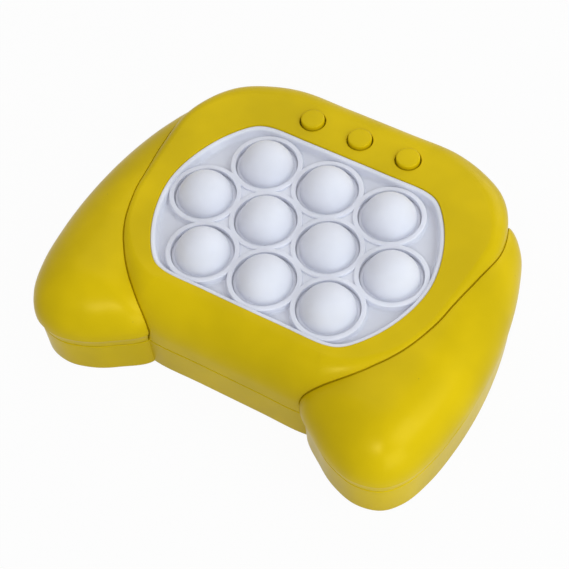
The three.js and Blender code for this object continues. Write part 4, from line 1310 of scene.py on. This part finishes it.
@dataclass(frozen=True)
class BatteryBox(BoxFit):
    """The battery box in the lower shell, from the places of the batteries, contacts and door."""

    gap: float = 0.3
    window_height: float = 3.0
    tongue_room: float = 0.2
    pad_room: float = 0.5
    seat_top: float = 1.8

    def reach(self) -> tuple[float, float, float, float]:
        """Gives the box's half length, half width, middle across and ceiling.

        Returns:
            The four sizes.
        """
        low, high = node_span("battery_1")
        half_width = (node_span("battery_3")[1][1] - low[1]) / 2 + 2 * self.gap
        length = node_span("contact_positive")[1][0] + self.gap
        return length, half_width, node_centre("battery_2")[1], high[2] + self.gap

    def walls(self, shells: Shells) -> Solid:
        """Gives the box before it is hollowed, with the pad and boss over the door's screw.

        Args:
            shells: The shells that it belongs to.

        Returns:
            The walls and what they enclose.
        """
        length, width, middle, ceiling = self.reach()
        wall, low, top = shells.box_wall, shells.floor / 2, self.tongue_thickness + self.pad_room
        door_end = node_span("battery_door")[1][0] + self.gap
        half = self.tongue_half_width + self.gap + wall
        block = Solid.bar((-length - wall, length + wall), middle, width + wall, low, ceiling + shells.box_roof)
        pad = Solid.bar((length, door_end + wall), middle, half, low, top + shells.door_roof)
        radius = shells.boss_bore + shells.boss_wall
        return block + pad + Solid.rods(radius, top, shells.door_boss_top, [node_centre("door_screw")], 32)

    def room(self, shells: Shells) -> Solid:
        """Gives the room for the batteries and their contacts."""
        length, width, middle, ceiling = self.reach()
        return Solid.bar((-length, length), middle, width, shells.floor, ceiling)

    def openings(self, shells: Shells) -> list[Solid]:
        """Gives the way in, the door's seat, its screw's bore, and the windows for tabs and tails.

        Args:
            shells: The shells that it belongs to.

        Returns:
            The bodies to cut out, one after the other.
        """
        length, width, middle, ceiling = self.reach()
        gap, floor, over = self.gap, shells.floor, shells.overrun
        low, high = node_span("battery_door")
        hole = length - self.plate_thickness - gap
        top = self.tongue_thickness + self.tongue_room + gap
        cuts = [
            Solid.bar((-hole, hole), middle, width - gap, -over, floor + over),
            Solid.bar((-hole, hole), middle, (high[1] - low[1]) / 2 + gap, -over, self.seat_top),
            Solid.bar((0, high[0] + gap), middle, self.tongue_half_width + gap, -over, top),
            Solid.rods(shells.boss_bore, 0, shells.door_boss_top - shells.door_roof, [node_centre("door_screw")], 32),
        ]
        near, far, window = -length + over, -length - shells.box_wall - over, floor + self.window_height
        for row in tab_rows(middle):
            cuts.append(Solid.bar((near, far), row, self.tab_half_width + gap, floor, window))
        for side, node in ((1, "contact_positive"), (-1, "contact_negative")):
            ends, row = (side * (hole - gap), side * length), node_centre(node)[1]
            roof = ceiling + shells.box_roof + over
            cuts.append(Solid.bar(ends, row, self.tail_half_width + gap, ceiling - over, roof))
        return cuts


# Panel, bubbles and buttons

@dataclass(frozen=True)
class Panel:
    """The silicone panel and its bubbles."""

    form: CaseForm = CaseForm()
    lip_top: float = 35.45
    ring_top: float = 34.5
    floor: float = 32.3
    underside: float = 30.8
    flange: float = 1.2
    flange_low: float = 32.1
    flange_high: float = 33.6
    bore: float = 10.29
    ring_width: float = 1.7
    ring_inner_edge: float = 0.3
    ring_outer_edge: float = 0.45
    ring_overlap: float = 0.4
    ring_lift: float = 0.05
    slab_hole: float = 0.9
    fillet: float = 0.8
    boss_clearance: float = 3.3
    bubble_radius: float = 8.94
    bubble_wall: float = 1.4
    web_drop: float = 1.5
    web_fillet: float = 0.3
    web_edge: float = 0.2
    web_clearance: float = 0.32
    foot_thickness: float = 1.5
    skirt_drop: float = 0.3
    skirt_outset: float = 0.04
    skirt_inset: float = 0.26
    skirt_levels: int = 9
    web_top: float = 33.75
    web_share: float = 0.94
    web_lift: float = 0.1
    side_gap: float = 0.02
    outer_crown: float = 0.35
    inner_crown: float = 0.8
    lip_slope: float = 0.06
    lip_width: float = 1.55
    wall_lean: float = 0.35
    wall_fillet: float = 1.1
    above: float = 40.0
    overrun: float = 1.0
    bore_slack: float = 0.01
    sides: int = 96

    def ring(self, place: Array) -> Solid:
        """Makes the raised ring round a bubble, with a rounded crown and a hollow rounding to the floor.

        Args:
            place: Middle of the bubble.

        Returns:
            The ring.
        """
        outer, inner = self.bore + self.ring_width, self.bore - self.ring_overlap
        inner_edge, outer_edge, low = self.ring_inner_edge, self.ring_outer_edge, self.underside + self.ring_lift
        profile = [
            (inner, low), (inner, self.ring_top - inner_edge - self.ring_lift),
            *arc((self.bore + inner_edge, self.ring_top - inner_edge), inner_edge, 180, 90, 6),
            *arc((outer - outer_edge, self.ring_top - outer_edge), outer_edge, 90, 0, 6),
            *arc((outer + self.fillet, self.floor + self.fillet), self.fillet, 180, 270, 6),
            (outer + self.fillet, low),
        ]
        return Solid.turned(profile, place, self.sides, Ends.LOOPED)

    def fillings(self) -> Solid:
        """Fills the corner between each three rings that touch, with a triangle over their middles.

        Returns:
            The fillings.
        """
        triangles = []
        for trio in itertools.combinations(np.array(centres("bubble", 10))[:, :2], 3):
            corners = np.array(trio)
            spokes = corners - corners.mean(axis=0)
            sides = np.linalg.norm(corners - np.roll(corners, 1, axis=0), axis=1)
            if np.max(sides) < 2 * (self.bore + self.ring_width):
                order = np.argsort(np.arctan2(spokes[:, 1], spokes[:, 0]))
                ring = corners.mean(axis=0) + spokes[order] * self.web_share
                triangles.append(Solid.prism(ring, self.underside + self.web_lift, self.web_top))
        return Solid.gathered(triangles)

    def body(self) -> Solid:
        """Makes the panel: a lip, a sunk floor, the rings and the flange that the case holds.

        Returns:
            The panel.
        """
        outline, places = self.form.opening(), centres("bubble", 10)
        gap, outer, inner, fillet = self.side_gap, self.outer_crown, self.inner_crown, self.wall_fillet
        foot = self.lip_width + self.wall_lean
        levels = [
            (gap, self.underside),
            *arc((gap + outer, self.lip_top - outer), outer, 180, 90, 5),
            *arc((self.lip_width - inner, self.lip_top - inner - self.lip_slope), inner, 90, 0, 5),
            *arc((foot + fillet, self.floor + fillet), fillet, 180, 270, 6),
        ]
        slab = Solid.skinned(stacked(outline, levels))
        low, high, over = self.flange_low, self.flange_high, self.overrun
        flange = Solid.prism(inset(outline, -self.flange), low, high)
        flange = flange - Solid.prism(inset(outline, self.lip_width / 2), low - over, high + over)
        holes = Solid.gathered([
            Solid.rods(self.bore + self.slab_hole, 0, self.above, places, self.sides),
            Solid.rods(self.boss_clearance, 0, self.above, centres("board_screw", 4), 32),
        ])
        first, *others = (self.ring(place) for place in places)
        rings = sum(others, first) & Solid.prism(inset(outline, 2 * gap), 0, self.above)
        bores = Solid.rods(self.bore + self.bore_slack, 0, self.above, places, self.sides)
        return slab + flange + self.fillings() - holes + rings - bores

    def bubble(self, node: str) -> Solid:
        """Makes a node's bubble: a hollow dome on a thin web that fills its ring, with a foot below.

        Args:
            node: Name of the node.

        Returns:
            The bubble.
        """
        foot, low, high = round_size(node)
        radius, fillet, edge = self.bubble_radius, self.web_fillet, self.web_edge
        middle, web = high - radius, self.ring_top - self.web_drop
        rise = web + fillet - middle
        reach = math.sqrt((radius + fillet) ** 2 - rise ** 2)
        start = math.degrees(math.atan2(rise, reach))
        rim, foot_top, inner = self.bore - self.web_clearance, low + self.foot_thickness, radius - self.bubble_wall
        profile = np.array([
            *arc((0, middle), radius, 90, start, 24),
            *arc((reach, web + fillet), fillet, 180 + start, 270, 6)[1:],
            *arc((rim - edge, web - edge), edge, 90, 0, 3),
            (rim, foot_top), (foot, foot_top), (foot, low), (inner, low),
            *arc((0, middle), inner, 0, 90, 12),
        ])
        profile[[0, -1], 0] = 0
        return Solid.turned(profile, node_centre(node), self.sides)

    def skirt(self, bench: Bench, number: int) -> None:
        """Makes the thin wall that joins a ring to its bubble's foot.

        Args:
            bench: The bench that finishes it.
            number: Number of the bubble.
        """
        node = f"bubble_{number}"
        place = node_centre(node)
        foot = node_span(node)[0][2] + self.foot_thickness
        heights = np.linspace(self.ring_top - self.web_drop - self.skirt_drop, foot, self.skirt_levels)
        walls = ((self.bore - self.skirt_inset, heights[::-1]), (self.bore - self.skirt_outset, heights))
        profile = [(radius, height) for radius, run in walls for height in run]
        wall = Solid.turned(profile, place, self.sides, Ends.LOOPED)
        made = bench.shape(f"skirt_{number}", wall, SILICONE, 60)
        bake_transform(made)

    def build(self, bench: Bench) -> None:
        """Makes the panel and its bubbles in silicone, and dresses the frame that clamps them.

        Args:
            bench: The bench that finishes the pieces.
        """
        bench.piece("silicone_panel", self.body(), SILICONE, "bubble_panel")
        for number, node in enumerate(numbered("bubble", 10), 1):
            bench.piece(f"dome_{number}", self.bubble(node), SILICONE, node, 60)
            self.skirt(bench, number)
        bench.dress(["panel_retainer"], NATURAL)


@dataclass(frozen=True)
class PushButton:
    """A low cap with a rounded edge, its flange and its stem."""

    radius: float = 4.0
    edge: float = 0.55
    edge_lift: float = 0.06
    crown: float = 0.12
    flange_top: float = 33.6
    flange_thickness: float = 1.0
    flange: float = 5.5
    stem: float = 2.0

    def body(self, node: str) -> Solid:
        """Makes the button of a node.

        Args:
            node: Name of the node.

        Returns:
            The button.
        """
        _, low, high = round_size(node)
        face, base = self.radius - self.edge, high - self.crown
        flange_low = self.flange_top - self.flange_thickness
        profile = np.array([
            *arc((0, base), (face, self.crown), 90, 20, 8),
            *arc((face, base - self.edge + self.edge_lift), self.edge, 70, 0, 8),
            (self.radius, self.flange_top), (self.flange, self.flange_top), (self.flange, flange_low),
            (self.stem, flange_low), (self.stem, low), (0, low),
        ])
        profile[0, 0] = 0
        return Solid.turned(profile, node_centre(node))

    def build(self, bench: Bench) -> None:
        """Makes the three buttons in yellow plastic."""
        for node in BUTTON_NODES:
            bench.piece(node.replace("button", "cap"), self.body(node), YELLOW, node, 50)


@dataclass(frozen=True)
class RubberDome:
    """The hollow rubber domes that push the buttons back up, and flatten when these are pressed."""

    crown: float = 2.2
    edge: float = 0.25
    wall: float = 0.9
    rim: float = 0.8
    bulge: float = 0.25
    pressed_height: float = 2.0

    def body(self, node: str) -> Solid:
        """Makes the dome of a node.

        Between the crown and the rim the skirt is a straight line with a bulge of sin(pi s) added to it.

        Args:
            node: Name of the node.

        Returns:
            The dome.
        """
        foot, base, top = round_size(node)
        share = np.linspace(0, 1, 9)[:, None]
        start = np.array([self.crown, top - self.edge])
        end = np.array([foot - self.wall, base + self.rim])
        profile = [
            (0, top), *arc(start - (self.edge, 0), self.edge, 90, 0, 4)[:-1],
            *(start + (end - start) * share + self.bulge * np.sin(math.pi * share)),
            *arc((foot - self.edge, base + self.rim - self.edge), self.edge, 90, 0, 4),
            (foot, base), (foot - 2 * self.wall, base), (self.crown - self.wall / 2, top - self.wall),
            (0, top - self.wall),
        ]
        return Solid.turned(profile, node_centre(node), 48)

    def build(self, bench: Bench) -> None:
        """Makes the three domes in rubber, each with its own copy of its mesh.

        Args:
            bench: The bench that finishes the pieces.
        """
        for button in BUTTON_NODES:
            node = button.replace("button", "rubber_dome")
            made = bench.piece(button.replace("button", "spring"), self.body(node), RUBBER, node)
            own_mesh(made)


class Circuit:
    """The board with its lamps, its sound chip and the leads."""

    def build(self, bench: Bench) -> None:
        """Dresses the nodes of the circuit.

        Args:
            bench: The bench that finishes the pieces.
        """
        bench.dress(["main_board"], BOARD_GREEN)
        bench.dress(numbered("lamp", 10), LAMP)
        bench.dress(["sound_chip"], RESIN)
        bench.dress(["battery_lead_positive", "speaker_lead_1"], RED_WIRE)
        bench.dress(["battery_lead_negative", "speaker_lead_2"], BLACK_WIRE)


# What shows from below and behind the door

@dataclass(frozen=True)
class Screw:
    """A pan-head screw with a cross recess and a ridged shank."""

    head: float = 2.7
    head_height: float = 1.2
    edge: float = 0.35
    shank: float = 1.3
    ridge: float = 0.25
    ridge_start: float = 0.3
    ridge_pitch: float = 0.8
    point: float = 1.3
    arm: tuple[float, float] = (0.42, 1.75)
    arm_corner: float = 0.12
    arm_flare: float = 0.08
    cross_depth: float = 0.85
    cross_taper: float = 0.2
    overrun: float = 0.5

    def body(self, node: str) -> Solid:
        """Makes the screw of a node, with its head down.

        Args:
            node: Name of the node.

        Returns:
            The screw.
        """
        _, bottom, top = round_size(node)
        place, seat, core = node_centre(node), bottom + self.head_height, self.shank - self.ridge
        turns = int((top - self.point - seat) / self.ridge_pitch)
        starts = seat + self.ridge_start + self.ridge_pitch * np.arange(turns)
        profile = [
            (0, bottom), *arc((self.head - self.edge, bottom + self.edge), self.edge, 270, 360, 4),
            (self.head, seat), (self.shank, seat),
            *(spot for start in starts for spot in ((core, start), (self.shank, start + self.ridge_pitch / 2))),
            (core, top - self.point), (0, top),
        ]
        body = Solid.turned(profile, place, 40)
        deep = (self.cross_taper, bottom + self.cross_depth)
        levels = [(-self.arm_flare, bottom - self.overrun), (0, bottom), deep]
        for half in (self.arm, self.arm[::-1]):
            ring = rounded_rectangle(place[:2] - half, place[:2] + half, self.arm_corner, 2)
            body = body - Solid.skinned(stacked(ring, levels))
        return body

    def build(self, bench: Bench) -> None:
        """Makes the screws of the case, of the board and of the door.

        Args:
            bench: The bench that finishes the pieces.
        """
        for node in (*numbered("shell_screw", 6), *numbered("board_screw", 4), "door_screw"):
            name = node.replace("shell", "case").replace("door", "cover").replace("screw", "fixing")
            bench.piece(name, self.body(node), SCREW_STEEL, node)


@dataclass(frozen=True)
class Door(BoxFit):
    """The battery door with its tabs, tongue, finger grooves and the seat of its screw."""

    thickness: float = 1.3
    corner: float = 0.6
    edge: float = 0.35
    tab_length: float = 2.0
    tab_riser: float = 1.5
    tab_low: float = 2.9
    root: float = 0.5
    tongue_inset: float = 0.1
    tongue_ends: tuple[float, float] = (0.6, 0.05)
    head_bore: float = 3.0
    head_chamfer: float = 0.4
    head_room: float = 1.5
    screw_bore: float = 1.6
    bore_top: float = 9.0
    groove_count: int = 5
    groove_start: float = 3.5
    groove_pitch: float = 2.0
    groove_depth: float = 0.45
    groove_half_length: float = 7.0

    def slab(self, low: Sequence[float], high: Sequence[float]) -> Solid:
        """Makes a plate whose corners and lower edge are rounded."""
        levels = [*arc((self.edge, low[2] + self.edge), self.edge, 270, 180, 4), (0, low[2] + self.thickness)]
        return Solid.skinned(stacked(rounded_rectangle(low, high, self.corner, 4), levels))

    def body(self) -> Solid:
        """Makes the door of its node.

        Returns:
            The door.
        """
        low, high = node_span("battery_door")
        base, end, middle = low[2], -low[0] - self.tab_length, (low[1] + high[1]) / 2
        half, root, hinge = self.tongue_half_width, base + self.root, -end + self.tab_riser
        body = self.slab((-end, low[1], base), (end, high[1]))
        body = body + self.slab((end - half / 2, middle - half, base), (high[0], middle + half))
        ends = (end + self.tongue_ends[0], high[0] - self.tongue_ends[1])
        body = body + Solid.bar(ends, middle, half - self.tongue_inset, root, base + self.tongue_thickness)
        for row in tab_rows(middle):
            for start, foot in ((-end, root), (low[0], self.tab_low)):
                body = body + Solid.bar((start, hinge), row, self.tab_half_width, foot, high[2])
        head, chamfer, bore, above = self.head_bore, self.head_chamfer, self.screw_bore, self.bore_top
        room = node_span("door_screw")[0][2] + self.head_room
        profile = [
            (0, -1), (head + chamfer, -1), (head + chamfer, base), (head, base + chamfer), (head, room), (bore, room),
            (bore, above), (0, above),
        ]
        body = body - Solid.turned(profile, node_centre("door_screw"), 40)
        reach = self.groove_half_length
        lines = [
            np.array([(x, middle - reach, base), (x, middle + reach, base)])
            for x in end - self.groove_start - self.groove_pitch * np.arange(self.groove_count)
        ]
        return body - Solid.gathered(Solid.tube(line, self.groove_depth, (0, 0, 1), 16) for line in lines)

    def build(self, bench: Bench) -> None:
        """Makes the door in yellow plastic."""
        bench.piece("battery_cover", self.body(), YELLOW, "battery_door")


@dataclass(frozen=True)
class Power(BoxFit):
    """The batteries and the contacts at both ends of their box."""

    edge: float = 0.5
    sunk_end: tuple[float, float, float] = (0.62, 0.68, 0.25)
    stepped_end: tuple[float, float, float] = (0.7, 0.66, 0.3)
    nub: float = 1.9
    nub_length: float = 1.0
    nub_edge: float = 0.25
    plate_top: float = 11.5
    plate_low: float = 4.7
    plate_corner: float = 0.9
    tail_root: float = 0.5
    tail_corner: float = 0.3
    tail_inset: float = 0.02
    spring_wide: float = 3.4
    spring_narrow: float = 2.2
    spring_wire: float = 0.35
    spring_turns: float = 3.5
    spring_length: float = 5.5
    turn_samples: int = 28

    def battery(self, number: int) -> Solid:
        """Makes a battery: a can with rolled edges, a stepped positive end and a sunk negative end.

        Args:
            number: Number of the battery.

        Returns:
            The battery.
        """
        node = f"battery_{number}"
        (low, high), place, side = node_span(node), node_centre(node), -1 if number == 2 else 1
        radius, length, edge, nub, fine = (high[2] - low[2]) / 2, high[0] - low[0], self.edge, self.nub, self.nub_edge
        can = length - self.nub_length
        (hub, hub_edge, sunk), (lid, lid_edge, step) = self.sunk_end, self.stepped_end
        profile = [
            (0, sunk), (radius * hub, sunk), (radius * hub_edge, 0), (radius - edge, 0),
            *arc((radius - edge, edge), edge, 270, 360, 4)[1:],
            *arc((radius - edge, can - edge), edge, 0, 90, 4),
            (radius * lid, can), (radius * lid_edge, can - step), (nub + step, can - step), (nub, can),
            (nub, length - fine), (nub - fine, length), (0, length),
        ]
        start = Vector((low[0] if side > 0 else high[0], place[1], place[2]))
        lying = Matrix.Translation(start) @ Matrix.Rotation(side * QUARTER, 4, "Y")
        return Solid.turned(profile, (0.0, 0.0)).moved(lying)

    def spring(self, node: str, row: float, side: int) -> Solid:
        """Makes a conical spring: a helix whose radius and place along X change evenly with its turns.

        Args:
            node: The contact that carries it.
            row: Middle of its battery along Y.
            side: 1 at the right end of the box and -1 at the left.

        Returns:
            The spring.
        """
        low, high = node_span(node)
        half_plate = self.plate_thickness / 2
        face = (high[0] if side > 0 else -low[0]) - half_plate
        share = np.linspace(0, 1, int(self.spring_turns * self.turn_samples) + 1)
        angle = 2 * math.pi * self.spring_turns * share
        radius = self.spring_wide + (self.spring_narrow - self.spring_wide) * share
        along = side * (face - (self.spring_length - self.spring_wire + half_plate) * share)
        axis = node_centre("battery_1")[2]
        path = np.column_stack([along, row + radius * np.cos(angle), axis + radius * np.sin(angle)])
        return Solid.tube(path, self.spring_wire, (side, 0, 0), 10)

    def contact(self, node: str, spring_row: float | None, side: int, tail: bool) -> Solid:
        """Makes a contact: a plate with rounded corners, and its spring and tail where it has them.

        Args:
            node: Name of the contact.
            spring_row: Middle of the spring along Y, or None where it has none.
            side: 1 at the right end of the box and -1 at the left.
            tail: Whether a tail for a lead rises from it.

        Returns:
            The contact.
        """
        low, high = node_span(node)
        outer, top, half = high[0] if side > 0 else low[0], self.plate_top, self.tail_half_width
        near, far = sorted((outer - side * self.plate_thickness, outer))
        across = Matrix(((0, 0, 1, 0), (1, 0, 0, 0), (0, 1, 0, 0), (0, 0, 0, 1)))
        face = rounded_rectangle((low[1], max(low[2], self.plate_low)), (high[1], top), self.plate_corner, 5)
        body = Solid.prism(face, near, far).moved(across)
        if tail:
            row = node_centre(node)[1]
            stub = rounded_rectangle((row - half, top - self.tail_root), (row + half, high[2]), self.tail_corner, 3)
            body = body + Solid.prism(stub, near + self.tail_inset, far - self.tail_inset).moved(across)
        return body if spring_row is None else body + self.spring(node, spring_row, side)

    def build(self, bench: Bench) -> None:
        """Makes the three batteries and the four contacts, of which three have a spring.

        Args:
            bench: The bench that finishes the pieces.
        """
        for number in range(1, 4):
            bench.piece(f"cell_{number}", self.battery(number), JACKET, f"battery_{number}")
        rows = [place[1] for place in centres("battery", 3)]
        contacts = {
            "contact_positive": ("positive_plate", None, 1, True),
            "contact_bridge_1": ("left_bridge", rows[0], -1, False),
            "contact_bridge_2": ("right_bridge", rows[1], 1, False),
            "contact_negative": ("negative_plate", rows[2], -1, True),
        }
        for node, (name, row, side, tail) in contacts.items():
            bench.piece(name, self.contact(node, row, side, tail), CONTACT_STEEL, node)


@dataclass(frozen=True)
class Loudspeaker:
    """The loudspeaker over its grille, facing down."""

    rim: float = 2.0
    rim_height: float = 1.7
    rim_edges: tuple[float, float] = (0.2, 0.3)
    back: float = 8.5
    skin: float = 0.8
    cone_skin: float = 0.3
    cone_flat: float = 4.0
    cone_dome: float = 0.9
    roll_start: float = 0.8
    roll_height: float = 0.5
    magnet_edge: float = 0.4

    def basket(self) -> Solid:
        """Makes the basket: a flat rim and a sloping back.

        Returns:
            The basket.
        """
        radius, bottom, top = round_size("speaker_basket")
        skin, (fine, edge) = self.skin, self.rim_edges
        inner, step = radius - self.rim, bottom + self.rim_height
        profile = [
            (inner, bottom), (radius - fine, bottom), (radius, bottom + fine), (radius, step - edge),
            (radius - edge, step), (inner + skin, step), (self.back, top), (0, top), (0, top - skin),
            (self.back - skin / 2, top - skin), (inner, bottom + self.rim_height / 2),
        ]
        return Solid.turned(profile, node_centre("speaker_basket"), 64, Ends.LOOPED)

    def cone(self) -> Solid:
        """Makes the cone: a film with a parabola's dome in its middle and half a sine wave rolled at its edge.

        Returns:
            The cone.
        """
        radius, bottom, top = round_size("speaker_cone")
        skin, flat, roll_start = self.cone_skin, self.cone_flat, radius * self.roll_start
        depth = top - bottom - skin
        radii = radius * np.linspace(0, 1, 25)
        dome = self.cone_dome * np.clip(1 - (radii / flat) ** 2, 0, None)
        slope = np.clip((radii - flat) / (roll_start - flat), 0, 1)
        share = np.clip((radii - roll_start) / (radius - roll_start), 0, 1)
        height = depth * (1 - slope) - dome + np.sin(share * math.pi) * self.roll_height
        lower = np.column_stack([radii, bottom + np.clip(height, 0, depth)])
        return Solid.turned(np.concatenate([lower, lower[::-1] + (0, skin)]), node_centre("speaker_cone"))

    def magnet(self) -> Solid:
        """Makes the magnet with chamfered edges.

        Returns:
            The magnet.
        """
        (radius, bottom, top), edge = round_size("speaker_magnet"), self.magnet_edge
        side = [(radius - edge, bottom), (radius, bottom + edge), (radius, top - edge), (radius - edge, top)]
        return Solid.turned([(0, bottom), *side, (0, top)], node_centre("speaker_magnet"))

    def build(self, bench: Bench) -> None:
        """Makes the basket, the cone and the magnet.

        Args:
            bench: The bench that finishes the pieces.
        """
        bench.piece("basket", self.basket(), SPEAKER_STEEL, "speaker_basket")
        bench.piece("cone", self.cone(), CONE, "speaker_cone")
        bench.piece("magnet", self.magnet(), SPEAKER_STEEL, "speaker_magnet")


# The studio

@dataclass(frozen=True)
class Studio:
    """Camera, floor, lamps and surroundings."""

    camera_place: tuple[float, float, float] = (161.99, -234.55, 424.09)
    camera_turn: tuple[float, float, float] = (34.354, 3.411, 30.458)
    lens: float = 95.77
    sensor: float = 36.0
    floor_half: float = 1500.0
    floor_drop: float = 0.05
    floor_colour: float = 0.55
    floor_roughness: float = 0.9
    floor_glow: float = 0.96
    ambient: float = 0.45
    ambient_tint: Colour = (1.0, 0.985, 0.96)
    lamp_distance: float = 900.0
    lamp_aim: float = 20.0

    def camera(self) -> None:
        """Makes the camera at the photograph's place."""
        data = bpy.data.cameras.new("camera")
        data.lens, data.sensor_width, data.clip_start = self.lens, self.sensor, 0.01
        holder = placed("camera", data)
        holder.location = Vector(self.camera_place) * MM
        holder.rotation_euler = [math.radians(angle) for angle in self.camera_turn]
        bpy.context.scene.camera = holder

    def surroundings(self) -> None:
        """Makes the world: plain light on the object, and white where it is seen."""
        world = bpy.data.worlds.new("surroundings")
        tree = Tree(world)
        plain = tree.nodes["Background"]
        tree.feed(plain.inputs["Color"], (*self.ambient_tint, 1))
        tree.feed(plain.inputs["Strength"], self.ambient)
        white = tree.node("ShaderNodeBackground", None, {"Color": (1, 1, 1, 1)})
        tree.cover(tree.seen(), plain, white, "World Output")
        bpy.context.scene.world = world

    def floor(self) -> None:
        """Makes the pale floor, which glows white where it is seen and keeps the shadow."""
        half, low = self.floor_half * MM, -self.floor_drop * MM
        mesh = bpy.data.meshes.new("floor")
        corners = [(-half, -half, low), (half, -half, low), (half, half, low), (-half, half, low)]
        mesh.from_pydata(corners, [], [(0, 1, 2, 3)])
        material = bpy.data.materials.new("white_floor")
        tree = Tree(material)
        shader = tree.nodes["Principled BSDF"]
        tree.feed(shader.inputs["Base Color"], (*[self.floor_colour] * 3, 1))
        tree.feed(shader.inputs["Roughness"], self.floor_roughness)
        tree.feed(shader.inputs["Specular IOR Level"], 0.0)
        tree.cover(tree.seen() * self.floor_glow, shader, tree.node("ShaderNodeEmission"), "Material Output")
        mesh.materials.append(material)
        placed("floor", mesh)

    def lamp(self, name: str, angles: Sequence[float], size: float, power: float, tint: Colour) -> None:
        """Makes a square soft lamp that points at the middle of the object.

        Args:
            name: Name of the lamp.
            angles: Its direction in degrees, round from the game's right and up from the floor.
            size: Side of the square in millimetres.
            power: Power in watts.
            tint: Colour of the light.
        """
        data = bpy.data.lights.new(name, "AREA")
        data.size, data.energy, data.color = size * MM, power, tint
        turn, rise = (math.radians(angle) for angle in angles)
        away = Vector((math.cos(rise) * math.cos(turn), math.cos(rise) * math.sin(turn), math.sin(rise)))
        holder = placed(name, data)
        holder.location = (away * self.lamp_distance + Vector((0, 0, self.lamp_aim))) * MM
        holder.rotation_euler = (-away).to_track_quat("-Z", "Y").to_euler()

    def build(self) -> None:
        """Sets up everything round the object."""
        bpy.context.scene.view_settings.view_transform = "Standard"
        self.camera()
        self.surroundings()
        self.floor()
        self.lamp("right_lamp", (5, 42), 500, 2.7, (0.92, 0.99, 1.0))
        self.lamp("low_lamp", (-30, 12), 550, 2.5, (0.92, 0.99, 1.0))
        self.lamp("front_lamp", (-68, 47), 210, 1.8, (1.0, 1.0, 1.0))
        self.lamp("back_lamp", (119, 55), 600, 1.3, (1.0, 0.98, 0.95))
        self.lamp("far_lamp", (80, 15), 500, 1.7, (1.0, 0.98, 0.95))


def save_sizes() -> None:
    """Brings the places of all objects up to date."""
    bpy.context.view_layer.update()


def main() -> None:
    """Builds the scene from the camera to the smallest piece."""
    Studio().build()
    bench = Bench()
    for kind in (Shells, Door, Panel, PushButton, RubberDome, Circuit, Power, Loudspeaker, Screw):
        LOG.info("%s", kind.__name__)
        kind().build(bench)
    save_sizes()


if __name__ == "__main__":
    logging.basicConfig(level=logging.INFO)
    main()
